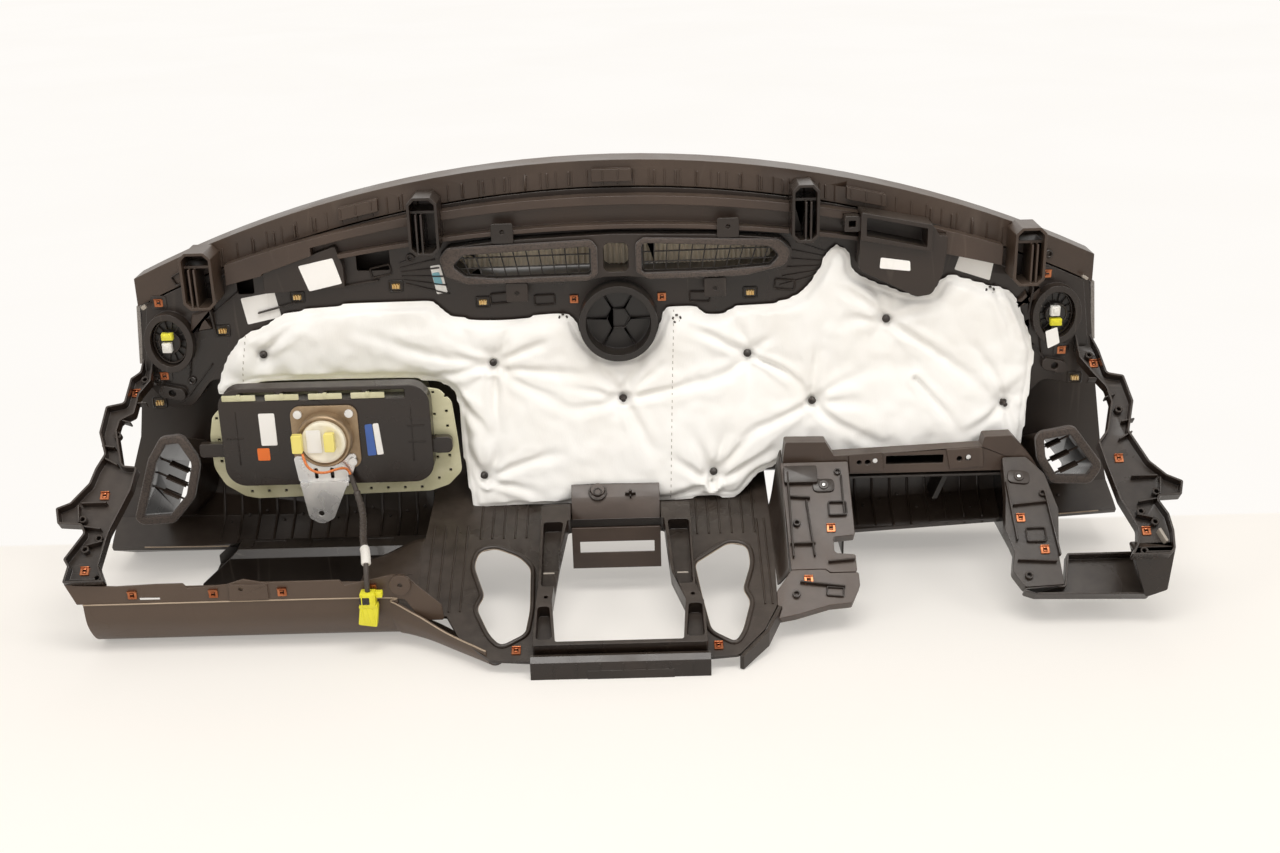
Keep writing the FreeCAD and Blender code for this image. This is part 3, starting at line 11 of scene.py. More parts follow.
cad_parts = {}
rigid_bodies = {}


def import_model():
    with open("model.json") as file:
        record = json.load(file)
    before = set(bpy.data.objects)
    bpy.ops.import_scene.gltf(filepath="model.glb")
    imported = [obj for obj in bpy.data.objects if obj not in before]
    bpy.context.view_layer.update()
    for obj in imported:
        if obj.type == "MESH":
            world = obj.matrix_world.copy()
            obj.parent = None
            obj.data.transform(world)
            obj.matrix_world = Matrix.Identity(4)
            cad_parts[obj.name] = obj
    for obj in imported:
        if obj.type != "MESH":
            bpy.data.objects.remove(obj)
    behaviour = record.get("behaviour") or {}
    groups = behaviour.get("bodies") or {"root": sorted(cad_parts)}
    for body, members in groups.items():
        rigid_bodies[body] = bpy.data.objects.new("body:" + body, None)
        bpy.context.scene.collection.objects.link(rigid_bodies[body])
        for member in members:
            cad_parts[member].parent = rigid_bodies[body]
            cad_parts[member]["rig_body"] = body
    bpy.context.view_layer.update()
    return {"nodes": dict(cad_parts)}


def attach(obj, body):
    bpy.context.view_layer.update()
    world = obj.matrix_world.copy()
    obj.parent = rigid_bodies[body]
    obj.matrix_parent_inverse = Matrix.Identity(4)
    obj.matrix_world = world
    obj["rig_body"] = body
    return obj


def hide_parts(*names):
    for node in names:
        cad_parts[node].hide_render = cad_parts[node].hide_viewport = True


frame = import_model()
scene = bpy.context.scene
mm = 0.001
print("frame loaded")

# Camera: stands in front, looks down and leans a little
cameraSetup = {"place": (0.030, -1.925, 1.000), "lookDown": 21.0, "lean": 1.5, "lens": 43.03}


def addCamera(setup):
    data = bpy.data.cameras.new("viewCamera")
    data.lens = setup["lens"]
    data.sensor_width = 36
    data.clip_end = 100
    camera = bpy.data.objects.new("viewCamera", data)
    scene.collection.objects.link(camera)
    camera.matrix_world = (Matrix.Translation(setup["place"])
                           @ Matrix.Rotation(radians(90 - setup["lookDown"]), 4, "X")
                           @ Matrix.Rotation(-radians(setup["lean"]), 4, "Z"))
    scene.camera = camera


addCamera(cameraSetup)


# Shader helpers: tone turns 0-255 screen values into the linear colour that a socket takes
def tone(red, green, blue):
    value = np.array([red, green, blue]) / 255
    linear = np.where(value <= 0.04045, value / 12.92, ((value + 0.055) / 1.055) ** 2.4)
    return (*linear, 1.0)


def addNode(tree, kind, inputs=None, **settings):
    node = tree.nodes.new(kind)
    for key, value in settings.items():
        setattr(node, key, value)
    for key, value in (inputs or {}).items():
        if isinstance(value, bpy.types.NodeSocket):
            tree.links.new(value, node.inputs[key])
        else:
            node.inputs[key].default_value = value
    return node


def calc(tree, operation, first, second=0.0, clamp=False):
    return addNode(tree, "ShaderNodeMath", {0: first, 1: second}, operation=operation, use_clamp=clamp).outputs[0]


def ramp(tree, value, low, high, toLow=0.0, toHigh=1.0):
    return addNode(tree, "ShaderNodeMapRange",
                   {"Value": value, "From Min": low, "From Max": high, "To Min": toLow, "To Max": toHigh}).outputs[0]


def blendTone(tree, factor, first, second):
    node = addNode(tree, "ShaderNodeMix", {"Factor": factor}, data_type="RGBA")
    for socket, value in ((node.inputs[6], first), (node.inputs[7], second)):
        if isinstance(value, bpy.types.NodeSocket):
            tree.links.new(value, socket)
        else:
            socket.default_value = value
    return node.outputs[2]


def noiseValue(tree, vector, scale, detail, distortion=0.0):
    return addNode(tree, "ShaderNodeTexNoise",
                   {"Vector": vector, "Scale": scale, "Detail": detail, "Distortion": distortion}).outputs[0]


def newGroup(name, inputs, outputs):
    group = bpy.data.node_groups.new(name, "ShaderNodeTree")
    for label, kind, value in inputs:
        socket = group.interface.new_socket(name=label, in_out="INPUT", socket_type=kind)
        if value is not None:
            socket.default_value = value
    for label in outputs:
        group.interface.new_socket(name=label, in_out="OUTPUT", socket_type="NodeSocketFloat")
    return group, group.nodes.new("NodeGroupInput").outputs, group.nodes.new("NodeGroupOutput").inputs


vectorInput = ("Vector", "NodeSocketVector", None)


def scaleInput(value):
    return ("Scale", "NodeSocketFloat", value)


# Mould grain: fine noise laid over small cells, as a height from 0 to 1
def mouldGrainGroup():
    group, source, result = newGroup("mouldGrain", [vectorInput, scaleInput(900.0)], ["Height"])
    noise = noiseValue(group, source["Vector"], source["Scale"], 3.0)
    cells = addNode(group, "ShaderNodeTexVoronoi",
                    {"Vector": source["Vector"], "Scale": calc(group, "MULTIPLY", source["Scale"], 1.6)},
                    feature="SMOOTH_F1")
    height = calc(group, "ADD", calc(group, "MULTIPLY", noise, 0.5),
                  calc(group, "MULTIPLY", cells.outputs["Distance"], 0.6))
    group.links.new(height, result["Height"])
    return group


# Uneven tone: slow noise stretched to a mask, for flow marks and wiped patches
def unevenGroup():
    group, source, result = newGroup("unevenTone", [vectorInput, scaleInput(9.0)], ["Mask"])
    noise = noiseValue(group, source["Vector"], source["Scale"], 5.0, 0.6)
    group.links.new(ramp(group, noise, 0.36, 0.66), result["Mask"])
    return group


# Scuffs: noise stretched along one way, and only its thin crest lines kept
def scuffGroup():
    group, source, result = newGroup("scuffs", [vectorInput, scaleInput(16.0)], ["Mask"])
    turned = addNode(group, "ShaderNodeMapping", {"Vector": source["Vector"], "Rotation": (0.4, 0.7, 0.5),
                                                  "Scale": (1.0, 7.0, 0.15)})
    noise = noiseValue(group, turned.outputs[0], source["Scale"], 1.0)
    crest = calc(group, "ABSOLUTE", calc(group, "SUBTRACT", noise, 0.5))
    line = ramp(group, crest, 0.0, 0.012, 1.0, 0.0)
    patch = noiseValue(group, source["Vector"], 7.0, 2.0)
    group.links.new(calc(group, "MULTIPLY", line, ramp(group, patch, 0.5, 0.68)), result["Mask"])
    return group


# Dust: settles on faces that look up, broken by fine noise
def dustGroup():
    group, source, result = newGroup("topDust", [vectorInput, scaleInput(60.0)], ["Mask"])
    normal = addNode(group, "ShaderNodeNewGeometry").outputs["Normal"]
    upward = addNode(group, "ShaderNodeSeparateXYZ", {0: normal}).outputs["Z"]
    noise = noiseValue(group, source["Vector"], source["Scale"], 6.0)
    lying = ramp(group, upward, 0.15, 0.95)
    group.links.new(calc(group, "MULTIPLY", lying, ramp(group, noise, 0.3, 0.7, 0.35, 1.0)), result["Mask"])
    return group


# Felt: short crossed fibres as a height, and a soft mottle as a mask
def feltGroup():
    group, source, result = newGroup("feltFibres", [vectorInput, scaleInput(700.0)], ["Height", "Mask"])
    layers = []
    for turn in (0.3, 1.5, 2.5):
        turned = addNode(group, "ShaderNodeMapping", {"Vector": source["Vector"], "Rotation": (0.2, turn, 0.1),
                                                      "Scale": (1.0, 1.0, 0.12)})
        layers.append(noiseValue(group, turned.outputs[0], source["Scale"], 2.0))
    height = calc(group, "MAXIMUM", calc(group, "MAXIMUM", layers[0], layers[1]), layers[2])
    group.links.new(height, result["Height"])
    mottle = noiseValue(group, source["Vector"], 14.0, 4.0)
    group.links.new(ramp(group, mottle, 0.4, 0.72), result["Mask"])
    return group


# Brushing: noise drawn out along X to fine streaks
def brushedGroup():
    group, source, result = newGroup("brushing", [vectorInput, scaleInput(500.0)], ["Height"])
    drawn = addNode(group, "ShaderNodeMapping", {"Vector": source["Vector"], "Scale": (0.06, 1.0, 1.0)})
    group.links.new(noiseValue(group, drawn.outputs[0], source["Scale"], 3.0), result["Height"])
    return group


# Braid: two sets of slanting threads over the piece's own UV, the higher one showing
def braidGroup():
    group, source, result = newGroup("braid", [vectorInput, scaleInput(1.0)], ["Height"])
    parts = addNode(group, "ShaderNodeSeparateXYZ", {0: source["Vector"]})
    waves = []
    for sign in ("ADD", "SUBTRACT"):
        phase = calc(group, "MULTIPLY", calc(group, sign, parts.outputs["X"], parts.outputs["Y"]), source["Scale"])
        waves.append(calc(group, "ABSOLUTE", calc(group, "SINE", phase)))
    group.links.new(calc(group, "MAXIMUM", waves[0], waves[1]), result["Height"])
    return group


groups = {"grain": mouldGrainGroup(), "uneven": unevenGroup(), "scuffs": scuffGroup(), "dust": dustGroup(),
          "felt": feltGroup(), "brushing": brushedGroup(), "braid": braidGroup()}


def effect(tree, name, vector, scale, output="Mask"):
    node = tree.nodes.new("ShaderNodeGroup")
    node.node_tree = groups[name]
    tree.links.new(vector, node.inputs["Vector"])
    node.inputs["Scale"].default_value = scale
    return node.outputs[output]


def startMaterial(name):
    material = bpy.data.materials.new(name)
    material.use_nodes = True
    tree = material.node_tree
    shader = tree.nodes["Principled BSDF"]
    place = tree.nodes.new("ShaderNodeTexCoord")
    return material, tree, shader, place.outputs["Object"], place.outputs["UV"]


def setBump(tree, shader, height, depth, strength=1.0):
    bump = addNode(tree, "ShaderNodeBump", {"Height": height, "Distance": depth, "Strength": strength})
    tree.links.new(bump.outputs[0], shader.inputs["Normal"])


# Moulded plastic: base and paler tone by flow marks, dust on top, scuffs, grain
def plasticFinish(name, base, pale, rough=(0.36, 0.52), grain=900.0, depth=0.00006, dust=0.2, specular=0.5,
                  coat=0.0, marks=0.1):
    material, tree, shader, place, _ = startMaterial(name)
    flow = effect(tree, "uneven", place, 8.0)
    scuff = effect(tree, "scuffs", place, 16.0)
    colour = blendTone(tree, calc(tree, "MULTIPLY", flow, 0.75), base, pale)
    colour = blendTone(tree, calc(tree, "MULTIPLY", scuff, marks), colour, tone(150, 138, 126))
    colour = blendTone(tree, calc(tree, "MULTIPLY", effect(tree, "dust", place, 60.0), dust), colour,
                       tone(176, 164, 150))
    tree.links.new(colour, shader.inputs["Base Color"])
    tree.links.new(calc(tree, "ADD", ramp(tree, flow, 0, 1, rough[0], rough[1]),
                        calc(tree, "MULTIPLY", scuff, 0.15)), shader.inputs["Roughness"])
    shader.inputs["Specular IOR Level"].default_value = specular
    shader.inputs["Coat Weight"].default_value = coat
    setBump(tree, shader, effect(tree, "grain", place, grain, "Height"), depth)
    return material


# Metal: tone varied by slow noise, fine brushing or grain, full metal
def metalFinish(name, base, pale, rough=(0.25, 0.4), streaks=500.0, depth=0.00004, metallic=1.0):
    material, tree, shader, place, _ = startMaterial(name)
    uneven = effect(tree, "uneven", place, 30.0)
    colour = blendTone(tree, uneven, base, pale)
    colour = blendTone(tree, calc(tree, "MULTIPLY", effect(tree, "scuffs", place, 30.0), 0.15), colour,
                       tone(120, 108, 92))
    tree.links.new(colour, shader.inputs["Base Color"])
    tree.links.new(ramp(tree, uneven, 0, 1, rough[0], rough[1]), shader.inputs["Roughness"])
    shader.inputs["Metallic"].default_value = metallic
    setBump(tree, shader, effect(tree, "brushing", place, streaks, "Height"), depth)
    return material


# Foam: open cells as small pits, their colour darker toward each pit's middle as painted shade
def foamFinish(name, base, pale, cells=420.0, depth=0.0004):
    material, tree, shader, place, _ = startMaterial(name)
    pits = addNode(tree, "ShaderNodeTexVoronoi", {"Vector": place, "Scale": cells})
    # painted shade: the darker base tone where the pits are deepest, the paler tone on the cell walls
    colour = blendTone(tree, ramp(tree, pits.outputs["Distance"], 0.1, 0.6), base, pale)
    tree.links.new(colour, shader.inputs["Base Color"])
    tree.links.new(ramp(tree, effect(tree, "uneven", place, 12.0), 0, 1, 0.6, 0.85), shader.inputs["Roughness"])
    shader.inputs["Sheen Weight"].default_value = 0.25
    setBump(tree, shader, pits.outputs["Distance"], depth)
    return material


# Felt mat: white fibres with a soft mottle, a faint sheen and fine bump
def feltFinish(name, base, shade):
    material, tree, shader, place, _ = startMaterial(name)
    colour = blendTone(tree, calc(tree, "MULTIPLY", effect(tree, "felt", place, 700.0), 0.55), base, shade)
    tree.links.new(colour, shader.inputs["Base Color"])
    tree.links.new(ramp(tree, effect(tree, "felt", place, 700.0, "Height"), 0.3, 0.8, 0.75, 0.95),
                   shader.inputs["Roughness"])
    shader.inputs["Specular IOR Level"].default_value = 0.25
    shader.inputs["Sheen Weight"].default_value = 0.15
    setBump(tree, shader, effect(tree, "felt", place, 700.0, "Height"), 0.00025)
    return material


# Braided or wound cord cover, its threads on the tube's own UV, with a painted highlight on the highest threads and
# painted shade between them
def braidFinish(name, base, pale, threads=1.0, depth=0.0003):
    material, tree, shader, place, own = startMaterial(name)
    threadsUp = effect(tree, "braid", own, threads, "Height")
    # painted highlight and shade: the paler tone on the thread crests, the darker base in the hollows
    tree.links.new(blendTone(tree, ramp(tree, threadsUp, 0.7, 1.0), base, pale), shader.inputs["Base Color"])
    tree.links.new(ramp(tree, effect(tree, "uneven", place, 60.0), 0, 1, 0.35, 0.6), shader.inputs["Roughness"])
    setBump(tree, shader, threadsUp, depth)
    return material


# Finishes: kind, base and paler tone on a screen from 0 to 255, and the settings of the kind
finishTable = {
    "shellSkin": ("plastic", (36, 27, 21), (50, 39, 31), (0.28, 0.42), 1100.0, 0.00005, 0.05),
    "kneeSkin": ("plastic", (74, 58, 46), (82, 66, 53), (0.38, 0.46), 1400.0, 0.00008, 0.05, 0.5, 0.0, 0.0),
    "darkPlastic": ("plastic", (31, 23, 18), (46, 35, 28), (0.24, 0.40), 900.0, 0.00006, 0.08),
    "deepPlastic": ("plastic", (22, 17, 14), (32, 25, 20), (0.26, 0.42), 900.0, 0.00005, 0.05),
    "greyPlastic": ("plastic", (58, 45, 37), (72, 57, 47), (0.30, 0.46), 900.0, 0.00007, 0.08),
    "bandPlastic": ("plastic", (56, 43, 34), (72, 57, 46), (0.30, 0.46), 900.0, 0.00007, 0.08),
    "glossBlack": ("plastic", (20, 15, 12), (30, 24, 19), (0.26, 0.38), 500.0, 0.00003, 0.03, 0.45, 0.1),
    "clipGrey": ("plastic", (150, 142, 132), (172, 164, 152), (0.35, 0.5), 900.0, 0.00005, 0.1),
    "yellowPlastic": ("plastic", (228, 220, 42), (240, 233, 88), (0.3, 0.42), 700.0, 0.00004, 0.05),
    "paleYellow": ("plastic", (240, 224, 120), (246, 234, 150), (0.3, 0.42), 700.0, 0.00004, 0.05),
    "whitePlastic": ("plastic", (232, 230, 224), (242, 240, 236), (0.3, 0.45), 700.0, 0.00004, 0.05),
    "pinBlack": ("plastic", (36, 31, 28), (60, 52, 47), (0.25, 0.4), 700.0, 0.00005, 0.1),
    "paleCoating": ("metal", (200, 196, 160), (214, 210, 178), (0.38, 0.5), 300.0, 0.00004, 0.25),
    "tanSteel": ("metal", (138, 117, 92), (170, 148, 120), (0.32, 0.44), 400.0, 0.00004, 0.6),
    "creamSteel": ("metal", (236, 228, 204), (244, 238, 220), (0.34, 0.46), 300.0, 0.00003, 0.15),
    "zincSteel": ("metal", (214, 214, 214), (236, 234, 230), (0.24, 0.36), 600.0, 0.00003, 0.7),
    "copperSteel": ("metal", (150, 88, 58), (196, 126, 88), (0.24, 0.38), 500.0, 0.00003),
    "brassStrip": ("metal", (206, 168, 104), (232, 204, 150), (0.22, 0.36), 500.0, 0.00003),
    "edgePale": ("plastic", (150, 132, 112), (186, 168, 146), (0.35, 0.5), 700.0, 0.00004, 0.05),
    "pleatPaper": ("felt", (240, 230, 212), (214, 200, 178)),
    "foamSeal": ("foam", (44, 37, 33), (72, 61, 54), 420.0, 0.0004),
    "greyFoam": ("foam", (118, 112, 108), (150, 144, 138), 500.0, 0.0003),
    "whiteFelt": ("felt", (248, 247, 244), (238, 235, 229)),
    "sleeve": ("braid", (30, 26, 24), (78, 68, 60), 1.0, 0.0003),
    "tape": ("braid", (214, 210, 202), (240, 237, 231), 3.0, 0.0001),
    "orangeWire": ("braid", (206, 110, 52), (224, 132, 70), 0.4, 0.00003),
}
labelTones = {"labelWhite": ((240, 238, 234), (248, 246, 243)),
              "labelOrange": ((232, 112, 36), (240, 128, 52)),
              "labelTeal": ((120, 176, 190), (138, 190, 202)),
              "labelBlue": ((62, 96, 168), (80, 114, 182))}
finishTable |= {name: ("plastic", *tones, (0.35, 0.45), 600.0, 0.00002, 0.04) for name, tones in labelTones.items()}
makers = {"plastic": plasticFinish, "metal": metalFinish, "foam": foamFinish, "felt": feltFinish,
          "braid": braidFinish}
finishes = {name: makers[kind](name, tone(*base), tone(*pale), *settings)
            for name, (kind, base, pale, *settings) in finishTable.items()}
print("finishes made")


# Pieces: a mesh from arrays, riding on a body and taking the named finish
def addPiece(name, points, faces, finish, slot=None, body="dashboard", smooth=40, replaces=(), uv=None):
    mesh = bpy.data.meshes.new(name)
    mesh.from_pydata(np.asarray(points, float).tolist(), [], [list(face) for face in faces])
    mesh.materials.append(finishes[finish])
    if uv is not None:
        layer = mesh.uv_layers.new(name="ownUV")
        loops = np.zeros(len(mesh.loops), int)
        mesh.loops.foreach_get("vertex_index", loops)
        layer.data.foreach_set("uv", np.asarray(uv, float)[loops].ravel())
    return finishPiece(name, mesh, body, smooth, replaces)


def finishPiece(name, mesh, body, smooth, replaces):
    mesh.validate()
    work = bmesh.new()
    work.from_mesh(mesh)
    bmesh.ops.recalc_face_normals(work, faces=work.faces)
    work.to_mesh(mesh)
    work.free()
    mesh.shade_smooth()
    mesh.set_sharp_from_angle(angle=radians(smooth))
    piece = bpy.data.objects.new(name, mesh)
    scene.collection.objects.link(piece)
    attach(piece, body)
    if replaces:
        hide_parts(*replaces)
    return piece


# Grid faces: quads between neighbouring rows and columns, closed round where wrapped
def gridFaces(rows, columns, wrapRows=False, wrapColumns=False):
    i, j = np.meshgrid(np.arange(rows if wrapRows else rows - 1), np.arange(columns if wrapColumns else columns - 1),
                       indexing="ij")
    below, right = (i + 1) % rows, (j + 1) % columns
    return np.stack([i * columns + j, i * columns + right, below * columns + right, below * columns + j],
                    -1).reshape(-1, 4)


# Joined shape: several (points, faces) lists as one
def joinShapes(shapes):
    points, faces, start = [], [], 0
    for somePoints, someFaces in shapes:
        points.append(np.asarray(somePoints, float))
        faces += [[start + index for index in face] for face in np.asarray(someFaces, object).tolist()] \
            if not isinstance(someFaces, np.ndarray) else (someFaces + start).tolist()
        start += len(somePoints)
    return np.concatenate(points), faces


# Piece of several shapes
def addShapes(name, shapes, *settings, **more):
    return addPiece(name, *joinShapes(shapes), *settings, **more)


# Rounded outline: each corner of a polygon is replaced by a quadratic curve between points set back by its radius
def roundedOutline(corners, radius, steps=5):
    corners = np.asarray(corners, float)
    before, after = np.roll(corners, 1, 0) - corners, np.roll(corners, -1, 0) - corners
    lengthBefore, lengthAfter = np.linalg.norm(before, axis=1), np.linalg.norm(after, axis=1)
    back = np.minimum(radius, 0.45 * np.minimum(lengthBefore, lengthAfter))[:, None]
    start, end = corners + before / lengthBefore[:, None] * back, corners + after / lengthAfter[:, None] * back
    t = np.linspace(0, 1, steps)[None, :, None]
    curve = (1 - t) ** 2 * start[:, None] + 2 * t * (1 - t) * corners[:, None] + t ** 2 * end[:, None]
    return curve.reshape(-1, 2)


# Outline moved inward along the mean of its two edge normals
def insetOutline(outline, distance):
    ahead, behind = np.roll(outline, -1, 0) - outline, outline - np.roll(outline, 1, 0)
    tangent = ahead / np.linalg.norm(ahead, axis=1)[:, None] + behind / np.linalg.norm(behind, axis=1)[:, None]
    tangent /= np.linalg.norm(tangent, axis=1)[:, None]
    area = np.sum(outline[:, 0] * np.roll(outline[:, 1], -1) - np.roll(outline[:, 0], -1) * outline[:, 1])
    normal = np.stack([-tangent[:, 1], tangent[:, 0]], 1) * np.sign(area)
    return outline + normal * distance


# Basis whose third axis is the given way out of the surface
def facing(out, along=(1, 0, 0)):
    out = np.asarray(out, float) / np.linalg.norm(out)
    side = np.asarray(along, float) - np.dot(along, out) * out
    side /= np.linalg.norm(side)
    return np.stack([side, np.cross(out, side), out])


# Slab: an outline carried outward from a seat in levels of (inset, height), with both ends closed
def slab(outline, seat, levels, out=(0, -1, 0), along=(1, 0, 0)):
    rings = [np.column_stack([insetOutline(outline, inset) if inset else outline, np.full(len(outline), height)])
             for inset, height in levels]
    points = np.concatenate(rings) @ facing(out, along) + np.asarray(seat, float)
    count = len(outline)
    faces = gridFaces(len(levels), count, wrapColumns=True).tolist()
    faces.append(list(range(count)))
    faces.append(list(range(len(points) - count, len(points))))
    return points, faces


def raised(height, edge):
    return [(0, 0), (0, height - edge), (edge * 0.3, height - edge * 0.3), (edge, height)]


# Ring slab: the space between two outlines of the same number of points, carried outward
def ringSlab(outer, inner, seat, height, edge, out=(0, -1, 0), along=(1, 0, 0)):
    section = [(outer, 0, 0), (outer, 0, height - edge), (outer, edge, height), (inner, -edge, height),
               (inner, 0, height - edge), (inner, 0, 0)]
    rings = [np.column_stack([insetOutline(line, inset) if inset else line, np.full(len(line), up)])
             for line, inset, up in section]
    points = np.concatenate(rings) @ facing(out, along) + np.asarray(seat, float)
    return points, gridFaces(len(section), len(outer), True, True)


def rectangle(wide, tall, radius, steps=5):
    x, y = wide / 2, tall / 2
    return roundedOutline([(-x, -y), (x, -y), (x, y), (-x, y)], radius, steps)


# Pad: a rounded rectangle of width, height and corner radius, raised with an edge, all in millimetres
def pad(size, seat, height, edge, out=(0, -1, 0), along=(1, 0, 0)):
    return slab(rectangle(*(value * mm for value in size)), seat, raised(height * mm, edge * mm), out, along)


def disc(radius, count=32):
    turn = np.arange(count) * 2 * np.pi / count
    return np.column_stack([np.cos(turn), np.sin(turn)]) * radius


# Lathe: a profile of (radius, height) turned round the way out of its seat
def lathe(profile, seat, out=(0, -1, 0), count=32):
    profile = np.asarray(profile, float)
    turn = np.arange(count) * 2 * np.pi / count
    ring = np.stack([np.cos(turn), np.sin(turn)], 1)
    points = np.concatenate([np.repeat(profile[:, :1], count, 1)[..., None] * ring[None],
                             np.repeat(profile[:, 1:], count, 1)[..., None]], 2).reshape(-1, 3)
    faces = gridFaces(len(profile), count, wrapColumns=True).tolist()
    faces.append(list(range(count)))
    faces.append(list(range(len(points) - count, len(points))))
    return points @ facing(out) + np.asarray(seat, float), faces


# Tube: a circle of changing radius carried along points, in frames kept square to a fixed side axis
def tubeAlong(points, radius, side=(1, 0, 0), count=20, squash=1.0):
    points = np.asarray(points, float)
    radius = np.broadcast_to(radius, len(points))
    way = np.gradient(points, axis=0)
    way /= np.linalg.norm(way, axis=1)[:, None]
    first = np.asarray(side, float) - (way @ np.asarray(side, float))[:, None] * way
    first /= np.linalg.norm(first, axis=1)[:, None]
    second = np.cross(way, first)
    turn = np.arange(count) * 2 * np.pi / count
    ring = (first[:, None] * np.cos(turn)[None, :, None] + second[:, None] * np.sin(turn)[None, :, None] * squash)
    shape = (points[:, None] + ring * radius[:, None, None]).reshape(-1, 3)
    faces = gridFaces(len(points), count, wrapColumns=True).tolist()
    faces.append(list(range(count)))
    faces.append(list(range(len(shape) - count, len(shape))))
    run = np.concatenate([[0], np.cumsum(np.linalg.norm(np.diff(points, axis=0), axis=1))])
    uv = np.stack(np.broadcast_arrays(turn[None, :] * 3, run[:, None] * 1500), -1).reshape(-1, 2)
    return shape, faces, uv


def nodeTree(name):
    work = bmesh.new()
    work.from_mesh(frame["nodes"][name].data)
    tree = BVHTree.FromBMesh(work)
    work.free()
    return tree


trees = {}


# Seat on a node: the first point that a ray along Y meets, and the surface's way out there
def seatOn(node, x, z, fromY=-0.4):
    if node not in trees:
        trees[node] = nodeTree(node)
    hit = trees[node].ray_cast(Vector((x, fromY, z)), Vector((0, 1, 0)))
    return (np.array(hit[0]), np.array(hit[1])) if hit[0] else (None, None)


# Sloping planes of the lower structure: a point's Y and Z, the rise per Y, and how far out the sheet lies
planes = {"bracket": (-140, 111, 0.8302, -13), "leg": (-120, 47, 0.8302, 0), "face": (-203, 20.5, 0.3492, 0),
          "stack": (-203, 20.5, 0.3492, 22)}


def planeHeight(plane, y):
    startY, startZ, rise, _ = planes[plane]
    return startZ + (y - startY) * rise


def planeSeat(plane, x, y):
    rise, shift = planes[plane][2:]
    out = np.array([0, -rise, 1]) / np.hypot(rise, 1)
    return (np.array([x, y, planeHeight(plane, y)]) + out * shift) * mm, out


# Raised shapes: rows of kind, place, size, height and turn, on a sloping plane or an upright face
def raisedShapes(rows):
    shapes = []
    for kind, place, size, height, turn in rows:
        seat, out = planeSeat(*place) if isinstance(place[0], str) else (np.array(place) * mm, np.array([0, -1.0, 0]))
        side, up, out = facing(out)
        along = side * np.cos(radians(turn)) + up * np.sin(radians(turn))
        tall, edge = height * mm, min(0.8, height * 0.3) * mm
        size = np.atleast_1d(np.array(size, float)) * mm
        if kind == "boss":
            shapes.append(slab(disc(size[0], 24), seat, raised(tall, edge), out, along))
        elif kind == "ring":
            shapes.append(ringSlab(disc(size[0], 28), disc(size[1], 28), seat, tall, edge, out, along))
        elif kind == "frame":
            shapes.append(ringSlab(rectangle(size[0], size[1], size[2]),
                                   rectangle(size[0] - 4 * mm, size[1] - 4 * mm, max(size[2] - 2 * mm, 0.5 * mm)),
                                   seat, tall, edge, out, along))
        else:
            shapes.append(slab(rectangle(size[0], size[1], size[2]), seat, raised(tall, edge), out, along))
    return shapes


# Ridges: thin rounded ribs that follow a node's face down the given lines of X and Z
def ridgesPiece(name, node, lines, radius, finish, slot, deepest=0.07):
    shapes = []
    for line in lines:
        seats = [seat for seat, out in (seatOn(node, x, z) for x, z in line) if seat is not None]
        if len(seats) > 3 and np.ptp(np.array(seats)[:, 1]) < deepest:
            shapes.append(tubeAlong(np.array(seats), radius, count=8)[:2])
    return addShapes(name, shapes, finish, slot)


# Closed tube: a circle carried round a closed line that lies in a plane, square to it and to the plane's way out
def closedTube(points, radius, out, count=12):
    way = np.roll(points, -1, 0) - np.roll(points, 1, 0)
    way /= np.linalg.norm(way, axis=1)[:, None]
    aside = np.cross(way, out)
    turn = (np.arange(count) * 2 * np.pi / count)[None, :, None]
    ring = aside[:, None] * np.cos(turn) + np.asarray(out)[None, None] * np.sin(turn)
    return (points[:, None] + ring * radius).reshape(-1, 3), gridFaces(len(points), count, True, True)


# Routes of the wiring, in millimetres, as in the part's source
cords = {
    "airbag_lead": {"route": [(-372, 29.7, 190), (-365, 27, 166), (-352, -8, 148), (-347, -42, 142), (-342, -78, 138),
                              (-333, -112, 134), (-330, -140, 118), (-330, -140, 95)], "radius": 3.5},
    "squib_wire": {"route": [(-430, 8, 231), (-427, 3, 219), (-418, 1, 208), (-402, 6, 202), (-386, 18, 204),
                             (-374.8, 30.8, 199.6), (-372, 29.7, 190)], "radius": 1.8},
}


# Line of a route: points read from its smooth NURBS spline
def routeLine(name, route, steps=16):
    curve = bpy.data.curves.new(name, "CURVE")
    curve.dimensions = "3D"
    spline = curve.splines.new("NURBS")
    spline.points.add(len(route) - 1)
    weights = np.column_stack([np.array(route) * mm, np.ones(len(route))])
    spline.points.foreach_set("co", weights.ravel())
    spline.order_u = 3
    spline.use_endpoint_u = True
    curve.resolution_u = steps
    holder = bpy.data.objects.new(name, curve)
    mesh = bpy.data.meshes.new_from_object(holder)
    line = np.zeros(len(mesh.vertices) * 3)
    mesh.vertices.foreach_get("co", line)
    bpy.data.objects.remove(holder)
    bpy.data.meshes.remove(mesh)
    return line.reshape(-1, 3)


def lengthOf(line):
    return float(np.linalg.norm(np.diff(line, axis=0), axis=1).sum())


leadLine = routeLine("leadLine", cords["airbag_lead"]["route"])
squibLine = routeLine("squibLine", cords["squib_wire"]["route"])
leadRun = np.concatenate([[0], np.cumsum(np.linalg.norm(np.diff(leadLine, axis=0), axis=1))])


def leadPart(start, end):
    share = leadRun / leadRun[-1]
    return leadLine[(share >= start) & (share <= end)]


shape, faces, uv = tubeAlong(leadLine, cords["airbag_lead"]["radius"] * mm)
lead = addPiece("leadWire", shape, faces, "sleeve", "dark_cable", replaces=["airbag_lead"], uv=uv)

